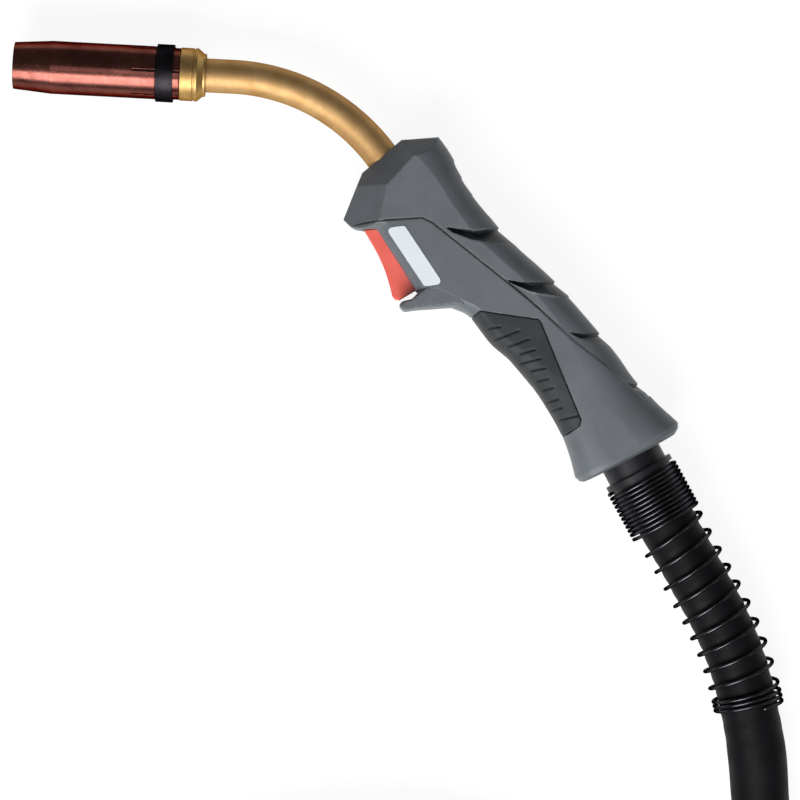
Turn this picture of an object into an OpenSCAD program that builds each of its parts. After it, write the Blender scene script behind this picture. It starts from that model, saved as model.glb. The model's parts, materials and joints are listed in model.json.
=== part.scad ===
// Water-cooled MIG welding torch: nozzle, swan neck, pistol handle, ball joint, hose and central plug.
// It lies on its right side. The origin is on the flat of the handle's right side.
// The nozzle points to -X.

/* [Handle] */
// Overall width of the handle, from flat side to flat side
handle_w = 42; // [40:0.5:48]
// Length of the handle along its own axis
handle_len = 175.6; // [165:0.1:190]
// Angle of the handle's axis below the nozzle's axis
handle_ang = 47.3; // [44:0.1:52]
// Thickness of the shells' wall
wall = 3; // [2.4:0.1:3.6]
// Height of the flat side panel above the rest of the side
panel_h = 0.6; // [0.3:0.1:1.2]
// Thickness of the rubber grip insert
insert_t = 1.8; // [1:0.1:2]
// Thickness of the plate on the left side
label_t = 0.5; // [0.3:0.1:1]
// Diameter of the screws' heads
screw_head_d = 5.4; // [4.5:0.1:6]
// Diameter of the screws' shanks
screw_d = 2.9; // [2:0.1:3.4]
// Half thickness of the finger guard
guard_w = 14; // [8:0.5:16]

/* [Neck and head] */
// Outer diameter of the swan neck
neck_d = 15.5; // [13:0.1:17]
// Bore of the swan neck
neck_bore = 9; // [7:0.1:10]
// Radius of the swan neck's bend
neck_r = 89.4; // [80:0.1:100]
// Angle through which the neck bends
neck_ang = 50; // [47:1:55]
// Straight length of the neck in front of the bend
neck_front = 12.9; // [8:0.1:30]
// Length of neck that is held inside the handle
neck_in = 27; // [24:1:30]
// Length of the brass collar behind the nozzle
collar_len = 11.4; // [9:0.1:16]
// Length of the gas nozzle
nozzle_len = 75.7; // [70:0.1:90]
// Outer diameter of the gas nozzle's body
nozzle_d = 24.2; // [23.4:0.1:28]
// Outer diameter of the gas nozzle's mouth
mouth_d = 21.4; // [20.6:0.1:24]
// Bore of the gas nozzle's body
nozzle_bore = 20.2; // [19.4:0.1:21]
// Bore of the gas nozzle's mouth
mouth_bore = 19.2; // [18.4:0.1:19.6]
// Length of the taper at the mouth
taper_len = 17.3; // [10:0.1:25]
// Length of the slots in the nozzle's rear end
slot_len = 21.5; // [12:0.1:28]
// Width of the slots in the nozzle's rear end
slot_w = 0.9; // [0.5:0.1:1.5]
// Width of the clip ring on the nozzle
ring_w = 7.8; // [5:0.1:10]
// Diameter of the contact tip
tip_d = 10; // [9:0.1:11]
// Length of the contact tip, with its thread
tip_len = 32; // [28:0.5:36]
// Bore of the contact tip, for the wire
tip_bore = 1.4; // [0.9:0.1:2]
// Distance from the contact tip's end to the nozzle's mouth
tip_recess = 5; // [2:0.5:8]

/* [Trigger] */
// Width of the trigger
trigger_w = 15; // [12:0.5:17]
// Travel of the trigger, in degrees
trigger_travel = 6; // [3:0.5:6]
// Diameter of the trigger's pin
pin_d = 3; // [2:0.1:3.4]

/* [Ball joint] */
// Diameter of the ball
ball_d = 31; // [30:0.1:31.4]
// Diameter of the smooth stem that leaves the handle
stem_d = 28.6; // [27:0.1:29]
// Diameter of the flange at the stem's end
flange_d = 32.9; // [32:0.1:36]
// Distance from the handle's rear face to the flange
flange_gap = 9.1; // [8:0.1:14]
// Distance from the ball's centre to the handle's rear face
ball_depth = 24; // [23:0.1:25]
// Angle of the stem below the nozzle's axis
stem_ang = 58.3; // [57:0.1:61]
// Tilt of the ball joint to each side, in degrees
ball_tilt = 12; // [5:1:12]

/* [Hose and spring] */
// Diameter of the sleeved hose
hose_d = 27; // [25:0.5:27]
// Diameter of the spring's wire
wire_d = 1.6; // [1.2:0.1:1.6]
// Outer diameter of the spring's close-wound part
spring_d = 35; // [35:0.1:37]
// Outer diameter of the spring's open part
spring_open_d = 32.6; // [32.6:0.1:34]
// Turns in the close-wound part
close_turns = 11; // [6:1:13]
// Turns in the open part
open_turns = 9.7; // [5:0.1:12]
// Turns at the far end that close up again
end_turns = 3; // [1:0.1:4]
// Pitch of the close-wound turns
close_pitch = 2.3; // [2.25:0.01:2.5]
// Pitch of the open turns
open_pitch = 8.95; // [6:0.05:9.5]
// Turns in the coil of hose
coil_turns = 2.07; // [2.04:0.01:2.12]
// Radius of the coil's outer track
coil_r = 176; // [170:1:190]
// Width of the straps that hold the coil
strap_w = 20; // [12:1:30]
// Thickness of the straps
strap_t = 1; // [0.6:0.1:1]

/* [Plug] */
// Diameter of the plug's coupling nut
nut_d = 46; // [44:0.5:50]
// Length of the coupling nut
nut_len = 25; // [20:0.5:30]
// Diameter of the plug's current-carrying body
plug_d = 24; // [22:0.1:26]
// Length of the plug's body in front of its flange
plug_len = 32; // [26:0.5:40]
// Diameter of the gas and wire spigot
spigot_d = 10; // [8:0.1:12]
// Length of the plug's housing
housing_len = 70; // [55:1:80]
// Diameter of the contact pins
contact_d = 3; // [2.5:0.1:4]

/* [Hidden] */
$fn = 48;
CLEAR = 0.3;    // gap between pieces that turn or slide on each other
SLIDE = 0.1;    // radial clearance of the gas nozzle on its seat
SNUG = 0.05;    // radial clearance of pieces that are pushed together
CUT = 1;        // how far a cut runs past the face that it leaves
FAR = 60;       // reach of a cut that goes right through

half_w = handle_w / 2;
side_w = half_w - panel_h;
flat_s = 60;      // where the origin lies along the handle's axis
flat_t = -9.7;    // and across it, towards the belly

// The handle's own frame: s runs from the front face to the rear, t from the belly to the back.
function P(s, t) = [
    (s - flat_s) * cos(handle_ang) + (t - flat_t) * sin(handle_ang),
    (t - flat_t) * cos(handle_ang) - (s - flat_s) * sin(handle_ang)];

module in_handle() {
    translate([0, 0, half_w]) rotate([0, 0, -handle_ang]) translate([-flat_s, -flat_t, 0]) children();
}

// ---- Skins, curves and swept tubes ----
function unit(v) = v / norm(v);
function ahead(p, i) = unit(p[min(i + 1, len(p) - 1)] - p[max(i - 1, 0)]);
function smooth(x) = let (u = min(max(x, 0), 1)) u * u * (3 - 2 * u);

// A closed skin over rings that each have the same number of points.
module skin(rings) {
    sides = len(rings[0]);
    last = (len(rings) - 1) * sides;
    walls = [for (i = [0 : len(rings) - 2], j = [0 : sides - 1], half = [0, 1])
        let (a = i * sides + j, b = i * sides + (j + 1) % sides)
        half == 0 ? [a, b, b + sides] : [a, b + sides, a + sides]];
    caps = [for (j = [1 : sides - 2], end = [0, 1])
        end == 0 ? [0, j + 1, j] : [last, last + j, last + j + 1]];
    polyhedron([for (ring = rings, point = ring) point], concat(walls, caps), convexity = 10);
}

// One unbroken tube of radius r along the points p. side holds each ring's first direction.
// first and last are the ways that its ends face, where those aren't the ways of its end pieces.
module tube(p, side, r, sides, first = undef, last = undef) {
    skin([for (i = [0 : len(p) - 1])
        let (d = i == 0 && first != undef ? first : i == len(p) - 1 && last != undef ? last : ahead(p, i),
            a = unit(side[i] - (side[i] * d) * d), b = cross(a, d))
        [for (j = [0 : sides - 1]) p[i] + r * (cos(360 * j / sides) * a + sin(360 * j / sides) * b)]]);
}

// The sideways directions of a route that lies nearly flat.
function level(p) = [for (i = [0 : len(p) - 1]) cross(ahead(p, i), [0, 0, 1])];

// Running lengths along the points p.
function lengths(p) = [for (i = 0, s = 0; i < len(p); i = i + 1,
    s = s + (i < len(p) ? norm(p[i] - p[i - 1]) : 0)) s];

// A smooth curve through the points p, with n steps between each two.
function spline(p, n) = concat([for (i = [0 : len(p) - 2], k = [0 : n - 1])
    let (t = k / n, b = p[i], c = p[i + 1],
        m = (c - p[max(i - 1, 0)]) / 2, o = (p[min(i + 2, len(p) - 1)] - b) / 2)
    (2 * t * t * t - 3 * t * t + 1) * b + (t * t * t - 2 * t * t + t) * m
        + (3 * t * t - 2 * t * t * t) * c + (t * t * t - t * t) * o], [p[len(p) - 1]]);

// The point at the distance s along the points p, whose running lengths are at.
function along(p, at, s) = let (i = max([for (k = [0 : len(p) - 2]) at[k] <= s ? k : 0]))
    p[i] + (p[i + 1] - p[i]) * (s - at[i]) / (at[i + 1] - at[i]);

// The least gap of a tube of diameter d to itself, between rings that are skip or more apart.
function least_gap(p, d, skip, reach) = min([for (i = [0 : len(p) - 1 - skip],
    j = [i + skip : min(i + reach, len(p) - 1)]) norm(p[i] - p[j])]) - d;

// ---- Neck and head, worked out from the handle's front face ----
neck_lead = 1.4;      // straight neck between the bend and the handle's face
face = P(0, 0);
bend_end = face - neck_lead * [cos(neck_ang), -sin(neck_ang)];
bend_c = bend_end - neck_r * [sin(neck_ang), cos(neck_ang)];
head_x = bend_c[0] - neck_front;   // the collar's rear face
head_y = bend_c[1] + neck_r;       // the nozzle's axis
nozzle_at = collar_len + CLEAR;
mouth_at = nozzle_at + nozzle_len;
seat_end = nozzle_at + slot_len + 2;
tip_at = mouth_at - tip_recess - tip_len;
tip_thread_d = 8;
tip_thread_len = 8;
holder_d = 12;
holder_in = 5;        // where the tip holder starts inside the collar
collar_in = 4;        // how far the neck reaches into the collar
seat_bore = 16.4;
ring_at = 14.6;       // where the clip ring starts, from the collar's rear face
ring_t = 1.1;
rear_d = nozzle_d - 0.6;         // diameter behind the barrel, where the clip ring sits
barrel_from = ring_at + ring_w + 0.3;
slots = 6;

module at_head(h = 0) {
    translate([head_x - h, head_y, half_w]) rotate([0, -90, 0]) children();
}

module pipe(d, bore, h) {
    difference() {
        cylinder(d = d, h = h);
        translate([0, 0, -CUT]) cylinder(d = bore, h = h + 2 * CUT);
    }
}

module gas_nozzle() {
    body_len = nozzle_len - taper_len;
    rear_len = barrel_from - nozzle_at;
    color("sienna") at_head(nozzle_at) difference() {
        union() {
            cylinder(d = rear_d, h = rear_len);
            translate([0, 0, rear_len]) cylinder(d = nozzle_d, h = body_len - rear_len);
            translate([0, 0, body_len]) cylinder(d1 = nozzle_d, d2 = mouth_d, h = taper_len);
        }
        translate([0, 0, -CUT]) cylinder(d = nozzle_bore, h = body_len + CUT);
        translate([0, 0, body_len]) cylinder(d1 = nozzle_bore, d2 = mouth_bore, h = taper_len);
        for (k = [0 : slots / 2 - 1]) rotate([0, 0, 360 * k / slots])
            translate([-nozzle_d, -slot_w / 2, -CUT]) cube([2 * nozzle_d, slot_w, slot_len + CUT]);
    }
}

module nozzle_clip_ring() {
    color("darkslategray") at_head(ring_at)
        pipe(nozzle_d + 2 * ring_t, rear_d + 2 * SNUG, ring_w);
}

module nozzle_seat() {
    color("dimgray") at_head(collar_len)
        pipe(nozzle_bore - 2 * SLIDE, seat_bore, seat_end - collar_len);
}

module gas_diffuser() {
    diffuser_len = 9;
    holes = 8;
    color("whitesmoke") at_head(seat_end - diffuser_len) difference() {
        pipe(seat_bore - 2 * SNUG, holder_d + 2 * SNUG, diffuser_len);
        for (k = [0 : holes - 1]) rotate([0, 0, 360 * k / holes])
            translate([(holder_d + seat_bore) / 4, 0, -CUT]) cylinder(d = 1.2, h = diffuser_len + 2 * CUT);
    }
}

module tip_holder() {
    color("peru") at_head(holder_in) difference() {
        union() {
            cylinder(d = holder_d - 2, h = collar_len - holder_in);
            translate([0, 0, collar_len - holder_in])
                cylinder(d = holder_d, h = tip_at + tip_thread_len - collar_len);
        }
        translate([0, 0, -CUT]) cylinder(d = 3, h = tip_at + tip_thread_len);
        translate([0, 0, tip_at - holder_in]) cylinder(d = tip_thread_d + 2 * SNUG, h = tip_thread_len + CUT);
    }
}

module contact_tip() {
    nose = 5;
    color("coral") at_head(tip_at) difference() {
        union() {
            cylinder(d = tip_thread_d, h = tip_thread_len);
            translate([0, 0, tip_thread_len]) cylinder(d = tip_d, h = tip_len - tip_thread_len - nose);
            translate([0, 0, tip_len - nose]) cylinder(d1 = tip_d, d2 = tip_d - 3, h = nose);
        }
        translate([0, 0, -CUT]) cylinder(d = tip_bore, h = tip_len + 2 * CUT);
    }
}

module neck_collar() {
    rear_d = nozzle_d - 4.6;
    cone_len = 2.7;
    groove_d = nozzle_d - 1;
    color("burlywood") at_head() difference() {
        union() {
            cylinder(d = rear_d, h = CUT);
            translate([0, 0, CUT]) cylinder(d1 = rear_d, d2 = nozzle_d, h = cone_len);
            translate([0, 0, CUT + cone_len]) cylinder(d = nozzle_d, h = collar_len - CUT - cone_len);
        }
        translate([0, 0, -CUT]) cylinder(d = neck_d + 2 * SNUG, h = collar_in + CUT);
        cylinder(d = holder_d - 2 + 2 * SNUG, h = collar_len + CUT);
        translate([0, 0, collar_in + 1]) difference() {
            cylinder(d = nozzle_d + 2, h = 0.7);
            translate([0, 0, -CUT]) cylinder(d = groove_d, h = 3);
        }
    }
}

// Along the neck's last straight stretch, d from the handle's face inwards.
module at_neck(d = 0) {
    translate([face[0], face[1], half_w]) rotate([0, 0, -neck_ang]) rotate([0, 90, 0])
        translate([0, 0, d]) children();
}

// A round bar on the neck's line: front runs past the collar's rear face, rear past the handle's face.
module neck_run(d, front, rear) {
    translate([bend_c[0], head_y, half_w]) rotate([0, -90, 0]) cylinder(d = d, h = neck_front + front);
    translate([bend_c[0], bend_c[1], half_w]) rotate([0, 0, 90 - neck_ang])
        rotate_extrude(angle = neck_ang) translate([neck_r, 0]) circle(d = d);
    at_neck(-neck_lead) cylinder(d = d, h = neck_lead + rear);
}

module swan_neck() {
    color("darkkhaki") difference() {
        neck_run(neck_d, collar_in, neck_in);
        neck_run(neck_bore, collar_in + CUT, neck_in + CUT);
    }
}

module wire_liner() {
    color("silver") difference() {
        neck_run(neck_bore - 2 * CLEAR, collar_in, neck_in);
        neck_run(3, collar_in + CUT, neck_in + CUT);
    }
}

// ---- Handle ----
drawn_len = 175.6;    // the length at which the outline below is drawn
bay_end = 82;         // the outline stretches only behind this place
function S(s) = s < bay_end ? s : bay_end + (s - bay_end) * (handle_len - bay_end) / (drawn_len - bay_end);

// Each section: s and t at the belly, s and t at the back, half width, and 0 for round to 1 for square.
SECTIONS = [
    [0, -11.8, 0, 11.8, 11.8, 0], [10.8, -31.9, 9.5, 25.5, 20.6, 0.8], [15.5, -31.4, 15, 25.2, 21.6, 1],
    [19.4, -28.6, 21, 24.4, 22, 1], [24.9, -23.3, 28, 22.4, 22, 1], [32, -24.2, 34, 21.2, 22, 1],
    [44, -25.6, 44, 20.4, 22, 1], [56.5, -27.3, 57, 20.2, 22, 1], [65, -23, 65, 20.5, 22, 1],
    [73, -19.3, 73, 21.2, 21.8, 1], [82, -15.6, 83, 22.8, 21.6, 1], [96, -16.2, 96, 24.4, 21.4, 1],
    [110, -14.3, 110, 25.2, 21, 1], [124, -14.2, 125, 25.4, 20.4, 0.9], [137, -15.5, 138, 25.2, 20, 0.8],
    [149, -17.7, 151, 24.2, 20, 0.7], [159.5, -21.3, 163, 24.4, 20.2, 0.6],
    [168.6, -25.6, 179, 26.4, 20.4, 0.5], [172.4, -24, 182.2, 22, 18, 0.4]];
SQUARE_BELLY = 4.6;   // how square the belly and the back are at most: 2 is round
SQUARE_BACK = 2.7;
SECTION_STEPS = 12;

// Half of one section, shrunk by inset, from the belly over the side to the back.
function half_section(c, inset) = let (belly = [S(c[0]), c[1]], back = [S(c[2]), c[3]],
    mid = (belly + back) / 2, reach = norm(back - belly) / 2 - inset, dir = unit(back - belly))
    [for (k = [0 : SECTION_STEPS]) let (a = 180 * k / SECTION_STEPS,
        power = 2 / (2 + c[5] * ((a < 90 ? SQUARE_BELLY : SQUARE_BACK) - 2)),
        x = -sign(cos(a)) * pow(abs(cos(a)), power), z = pow(max(sin(a), 0), power),
        p = mid + reach * x * dir)
        [p[0], p[1], min((c[4] - inset) * z, side_w - inset)]];

module half_form(inset, first, last) {
    skin([for (i = [first : last]) half_section(SECTIONS[i], inset)]);
}

// A recess of the same depth everywhere below the shells' surface, with the outline of the children.
module recess(depth, first, last) {
    difference() {
        translate([0, 0, -CUT]) linear_extrude(FAR) children();
        half_form(depth, first, last);
    }
}

PANEL = [[23, -19.5], [33.8, -5.8], [37.6, -3.6], [70, 3.8], [97, 9.4], [113, 11.9], [104.6, 8.3],
    [101.8, 8.2], [80.6, -9.6], [79.4, -13.8], [72, -16.5], [64, -20.3], [57, -23.9], [44, -22.5], [29, -21]];
LABEL = [[26.5, -20], [31, -12.6], [62.6, -16], [57.8, -23.3]];
// Behind this line the back of the shells lies a little lower.
BACK = [[80, 7.2], [83.7, 8.6], [91, 12.3], [97.6, 18.1], [103.2, 23.6], [104, 32], [163.5, 32],
    [160.8, 21.3], [150, 20], [136, 16.7], [117.7, 12.9], [97, 9.7]];
BLADES = [
    [[43.4, 1], [52.3, 9.5], [54.6, 13.2], [58.9, 19.7], [59.5, 32], [71, 32], [70.1, 21.2], [63.2, 13],
        [55.6, 6.7], [47.6, 2.2]],
    [[78.9, 7], [84, 11.1], [88.6, 17.1], [93.9, 23.9], [94.5, 32], [104, 32], [103.2, 23.6], [97.6, 18.1],
        [91, 12.3], [83.7, 8.6]],
    [[115.2, 13.7], [119.7, 17.8], [125, 24.6], [125.5, 32], [134, 32], [133.2, 25.6], [126.9, 20.2],
        [120.5, 15.8]],
    [[149.5, 18.7], [153.8, 23.1], [154.5, 32], [160, 32], [159.3, 23.4], [154.8, 20.9]]];
NOTCHES = [[[22.6, 22.8], [22.7, 26], [30.5, 26], [30.5, 21.8]], [[30.6, 20.8], [30.7, 26], [39.4, 26],
    [39.4, 20.4]], [[39.6, 19.6], [39.7, 26], [52, 26], [52, 19.9]]];
blade_depth = 1.3;
notch_w = 8;
INSERT = [[82, -30], [82.2, -10.8], [102, 7], [104.2, 7.1], [149.6, -7.1], [151.5, -9.7], [149.5, -30]];
GUARD = [[58, -24], [58, -28.4], [58.6, -31.2], [56.6, -35.8], [57.4, -37.5], [60.1, -37.5],
    [72.8, -19.6], [77, -16.4], [72, -17.6]];
SLOT = [[24.2, -24.2], [20.5, -28], [20.5, -29.5], [57.2, -29.5], [57.6, -27.6], [57.6, -15], [24.2, -15]];
SCREWS = [[16, 12.5], [13.5, -21], [68, 10.5], [110, 14]];
insert_first = 9;     // the sections between which the grip insert lies
insert_last = 16;
first_hollow = 4;     // the sections between which the handle is hollow
last_hollow = 13;
screw_post_d = 7.5;
screw_post_h = side_w - wall + 0.1;
screw_in = 9;         // how far the screws reach into the left shell
screw_head_h = 3;
screw_under = side_w - 6;   // how far from the middle the heads' undersides lie
pin_at = [28, -19.5];
pin_boss_d = 7;
pin_half = 15;        // half the length of the trigger's pin
slot_half = trigger_w / 2 + CLEAR;
block_d = 17;
block_len = 22;
block_from = neck_in - 6;   // where the power block starts behind the handle's face
switch_at = [35.5, -19.8];
switch_l = 19.8;
switch_h = 9.2;
switch_w = 6.5;
rib_t = 3;

function stretched(p) = [for (q = p) [S(q[0]), q[1]]];

// A flat piece with the outline p, its corners rounded by r, and shrunk by less.
module plate(p, r, from, to, less = 0) {
    translate([0, 0, from]) linear_extrude(to - from) offset(r = r) offset(delta = -r - less)
        polygon(stretched(p));
}

// From the model's frame into the handle's own frame.
module to_handle() {
    translate([flat_s, flat_t, 0]) rotate([0, 0, handle_ang]) translate([0, 0, -half_w]) children();
}

// The ball's place in the handle's own frame, and in the model.
ball = [handle_len, 0] - ball_depth * [cos(stem_ang - handle_ang), -sin(stem_ang - handle_ang)];
ball_at = P(ball[0], ball[1]);
liner_t = 1.5;
seat_d = ball_d + 4 * CLEAR + 2 * liner_t;
stem_in_d = 22;       // the stem is thinner next to the ball
ball_bore = 19;
mouth_half = stem_d / 2 + 0.9;                                        // the rear mouth's half height
mouth_shift = stem_d / 2 / cos(ball_tilt) + ball_depth * tan(ball_tilt) + 0.5 - mouth_half;

// d is measured from the ball's centre along the stem.
module at_ball(d = 0) {
    translate([ball_at[0], ball_at[1], half_w]) rotate([0, 0, -stem_ang]) rotate([0, 90, 0])
        translate([0, 0, d]) children();
}

module half_shell(hole_d, hole_depth, left) {
    mouth_from = sqrt(seat_d * seat_d / 4 - mouth_half * mouth_half);
    block_r = block_d / 2 + SNUG;
    lead_way = ball[0] - S(SECTIONS[last_hollow][0]) + 2;
    difference() {
        union() {
            difference() {
                half_form(0, 0, len(SECTIONS) - 1);
                half_form(wall, first_hollow, last_hollow);
                recess(insert_t, insert_first, insert_last) polygon(stretched(INSERT));
                recess(panel_h, insert_first, len(SECTIONS) - 1) polygon(stretched(BACK));
                recess(blade_depth, 5, len(SECTIONS) - 1) for (p = BLADES) polygon(stretched(p));
            }
            translate([0, 0, side_w - 1]) linear_extrude(panel_h + 1) polygon(stretched(PANEL));
            linear_extrude(guard_w - 1.5) polygon(GUARD);
            linear_extrude(guard_w) offset(delta = -1) polygon(GUARD);
            for (at = SCREWS) translate([S(at[0]), at[1], 0]) cylinder(d = screw_post_d, h = screw_post_h);
            for (s = [block_from + 6, block_from + block_len - rib_t - 2])
                translate([s, -block_r, block_r - 3]) cube([rib_t, 2 * block_r, side_w - block_r + 2]);
            translate([pin_at[0], pin_at[1], slot_half])
                cylinder(d = pin_boss_d, h = side_w - slot_half - 1);
            translate([switch_at[0] + 2, switch_at[1] + 1, switch_w / 2])
                cube([switch_l - 4, switch_h - 2, side_w - switch_w / 2 - 1]);
        }
        if (left) plate(LABEL, 1.8, half_w - label_t, half_w + CUT);
        translate([0, 0, -CUT]) linear_extrude(slot_half + CUT) polygon(SLOT);
        translate([0, 0, -CUT]) linear_extrude(notch_w + CUT) for (p = NOTCHES) polygon(p);
        for (at = SCREWS) translate([S(at[0]), at[1], 0]) {
            translate([0, 0, -CUT]) cylinder(d = hole_d, h = hole_depth + CUT);
            if (!left) translate([0, 0, screw_under]) cylinder(d = screw_head_d + 2 * SNUG, h = FAR);
        }
        translate([pin_at[0], pin_at[1], -CUT]) cylinder(d = pin_d + 2 * SNUG, h = pin_half + SNUG + CUT);
        to_handle() {
            at_neck(-FAR / 2) cylinder(d = neck_d + 2 * SNUG, h = FAR);
            at_neck(block_from - SNUG) cylinder(r = block_r, h = block_len + 2 * SNUG);
            at_ball() sphere(d = seat_d);
            at_ball(-lead_way) cylinder(d = seat_d - 9, h = lead_way);
            at_ball(mouth_from) linear_extrude(FAR) {
                for (side = [-1, 1]) translate([0, side * mouth_shift]) circle(r = mouth_half);
                square([2 * mouth_half, 2 * mouth_shift], center = true);
            }
        }
    }
}

module handle_shell_left() {
    color("slategray") in_handle() half_shell(screw_d - 0.3, screw_in + CUT, true);
}

module handle_shell_right() {
    color("slategray") in_handle() mirror([0, 0, 1]) half_shell(screw_d + 0.4, screw_under + CUT, false);
}

// Grooves of the grip insert: s and t of each one's lower end, its length and its direction.
GROOVES = [[91, -13.3, 5.3, 60], [96.9, -14, 11.4, 71.6], [103, -11.7, 10.1, 71.6], [108.9, -9.7, 7.3, 67],
    [112.4, -12.5, 9.7, 66], [118, -10.8, 6.6, 63], [123.4, -11.6, 5, 64], [128.4, -12.1, 4.3, 68],
    [133.6, -14.3, 5.2, 68], [138, -14.8, 4.4, 70], [143.5, -14.6, 8.4, 64.7]];
groove_w = 0.9;
groove_depth = 0.6;

module grip_insert() {
    color("dimgray") in_handle() for (side = [0, 1]) mirror([0, 0, side]) difference() {
        intersection() {
            half_form(0, insert_first, insert_last);
            linear_extrude(FAR) polygon(stretched(INSERT));
        }
        half_form(insert_t, insert_first, insert_last);
        difference() {
            for (g = GROOVES) translate([S(g[0]), g[1], 0]) rotate([0, 0, g[3]])
                translate([0, -groove_w / 2, 0]) cube([g[2], groove_w, FAR]);
            half_form(groove_depth, insert_first, insert_last);
        }
    }
}

module label_plate() {
    color("white") in_handle() plate(LABEL, 1.8, half_w - label_t, half_w, SNUG);
}

module shell_screws() {
    color("darkgray") in_handle() for (at = SCREWS) translate([S(at[0]), at[1], -screw_under]) {
        cylinder(d = screw_d - 0.4, h = screw_under + screw_in);
        translate([0, 0, -screw_head_h]) difference() {
            cylinder(d = screw_head_d, h = screw_head_h);
            translate([0, 0, -CUT]) cylinder(d = 2.5, h = CUT + 1.6, $fn = 6);
        }
    }
}

module power_block() {
    color("goldenrod") at_neck(block_from) difference() {
        cylinder(d = block_d, h = block_len);
        translate([0, 0, -CUT]) cylinder(d = neck_d + 2 * SNUG, h = neck_in - block_from + CUT);
        cylinder(d = 6, h = block_len + CUT);
    }
}

// ---- Trigger and switch ----
TRIGGER = [[20.9, -28.3], [30.9, -29.5], [39.3, -31.7], [46, -34.3], [51.6, -37], [53.6, -37],
    [54.9, -35.6], [56.3, -27.5], [56.2, -24], [33, -22.6], [31.4, -19.5], [24.6, -19.5], [24.6, -24.9]];
lug_d = 6.8;
spring_from = 1.5;    // the trigger's spring lies beside the middle, in a pocket of the trigger
plunger_s = 46;
plunger_d = 2.5;
plunger_len = 6;
plunger_tip = -23.1;

module trigger() {
    color("tomato") in_handle() difference() {
        translate([0, 0, -trigger_w / 2]) linear_extrude(trigger_w) {
            polygon(TRIGGER);
            translate(pin_at) circle(d = lug_d);
        }
        translate([pin_at[0], pin_at[1], -FAR / 2]) cylinder(d = pin_d + 2 * SLIDE, h = FAR);
        translate([pin_at[0], pin_at[1], spring_from - CLEAR]) cylinder(d = lug_d + 1, h = FAR);
    }
}

module trigger_pin() {
    color("silver") in_handle() translate([pin_at[0], pin_at[1], -pin_half])
        cylinder(d = pin_d, h = 2 * pin_half);
}

module trigger_spring() {
    color("gray") in_handle() translate([pin_at[0], pin_at[1], spring_from])
        pipe(lug_d - 0.6, pin_d + 2 * CLEAR, slot_half - spring_from);
}

module microswitch() {
    color("black") in_handle() difference() {
        translate([switch_at[0], switch_at[1], -switch_w / 2]) cube([switch_l, switch_h, switch_w]);
        translate([plunger_s, switch_at[1] - CUT, 0]) rotate([-90, 0, 0])
            cylinder(d = plunger_d + 2 * CLEAR, h = plunger_len + CUT);
    }
}

module switch_plunger() {
    color("firebrick") in_handle() translate([plunger_s, plunger_tip, 0]) rotate([-90, 0, 0])
        cylinder(d = plunger_d, h = plunger_len);
}

// ---- Leads inside the handle, from the power block and the switch to the ball ----
module inner_leads() {
    tilt = neck_ang - handle_ang;
    out = [cos(tilt), -sin(tilt)];
    up = [sin(tilt), cos(tilt)];
    from = (block_from + block_len) * out;
    straight = 6;
    // How far before the ball the leads come level with it, and from how far above.
    level_at = 22;
    level_above = 2.5;
    // Each lead: its place at the block or the switch, its way out, its diameter, its place in the ball.
    leads = [[from + 3 * up, out, 7, [0, 2.6]], [from - 4 * up, out, 4.5, [0, -3.8]],
        [switch_at + [switch_l, switch_h - 2.2], [1, 0], 2.4, [4.4, 0]]];
    color("darkorange") in_handle() for (lead = leads) {
        a = [lead[0][0], lead[0][1], 0];
        way = [lead[1][0], lead[1][1], 0];
        c = [ball[0], ball[1] + lead[3][1], lead[3][0]];
        b = [a[0] + 0.5 * (c[0] - a[0]), a[1] + 0.35 * (c[1] - a[1]), 0.5 * c[2]];
        line = spline([a, a + straight * way, b, c - [level_at, -level_above, 0], c], 2);
        tube(line, level(line), lead[2] / 2, 8, first = way);
    }
}

// ---- Ball joint ----
flange_t = 2.4;
stem_spigot_len = 14;
hose_from = ball_depth + flange_gap + flange_t;
stem_spigot_d = hose_d + 2.4;

module joint_ball() {
    cone_from = ball_depth - 9;
    color("black") at_ball() difference() {
        union() {
            sphere(d = ball_d);
            cylinder(d = stem_in_d, h = cone_from);
            translate([0, 0, cone_from]) cylinder(d1 = stem_in_d, d2 = stem_d, h = 5);
            translate([0, 0, cone_from + 5]) cylinder(d = stem_d, h = hose_from - cone_from - 5);
            translate([0, 0, hose_from - flange_t]) cylinder(d = flange_d, h = flange_t);
            translate([0, 0, hose_from]) cylinder(d = stem_spigot_d, h = stem_spigot_len);
        }
        translate([0, 0, -ball_d]) cylinder(d = ball_bore, h = ball_d + hose_from + CUT);
        translate([0, 0, hose_from]) cylinder(d = hose_d + 2 * SNUG, h = stem_spigot_len + CUT);
    }
}

module ball_liner() {
    liner_half = ball_d / 2 * 0.54;
    color("ivory") at_ball() intersection() {
        difference() {
            sphere(d = ball_d + 2 * CLEAR + 2 * liner_t);
            sphere(d = ball_d + 2 * CLEAR);
        }
        translate([0, 0, -liner_half]) cylinder(d = 2 * ball_d, h = 2 * liner_half);
    }
}

// ---- Hose: straight out of the stem, through the spring, down to the ground and into the coil ----
function stem_point(d) = [ball_at[0] + d * cos(stem_ang), ball_at[1] - d * sin(stem_ang), half_w];

strap_fit = 0.7;                         // room for the hose's bend inside the straps
low = hose_d / 2 + strap_fit + strap_t;        // height of the hose's middle where it lies on the straps
ROUTE = [[112.8, -121.7, 20.7], [121.7, -136, 20.1], [130.6, -150.5, 19.3], [138.4, -166.2, 18.4],
    [144.3, -182.3, 17.4], [148.6, -198.5, 16.4], [151.8, -214.8, 15.7], [154.2, -230, 15.3],
    [156.6, -250, low], [158.8, -275, low], [160, -305, low], [160, -340, low], [160, -375, low],
    [160, -410, low]];
hose_straight = 26.5;                    // length over which the hose leaves the ball joint straight
route = concat([stem_point(hose_from), stem_point(hose_from + stem_spigot_len),
    stem_point(hose_from + hose_straight)], ROUTE);
route_end = route[len(route) - 1];

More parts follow.
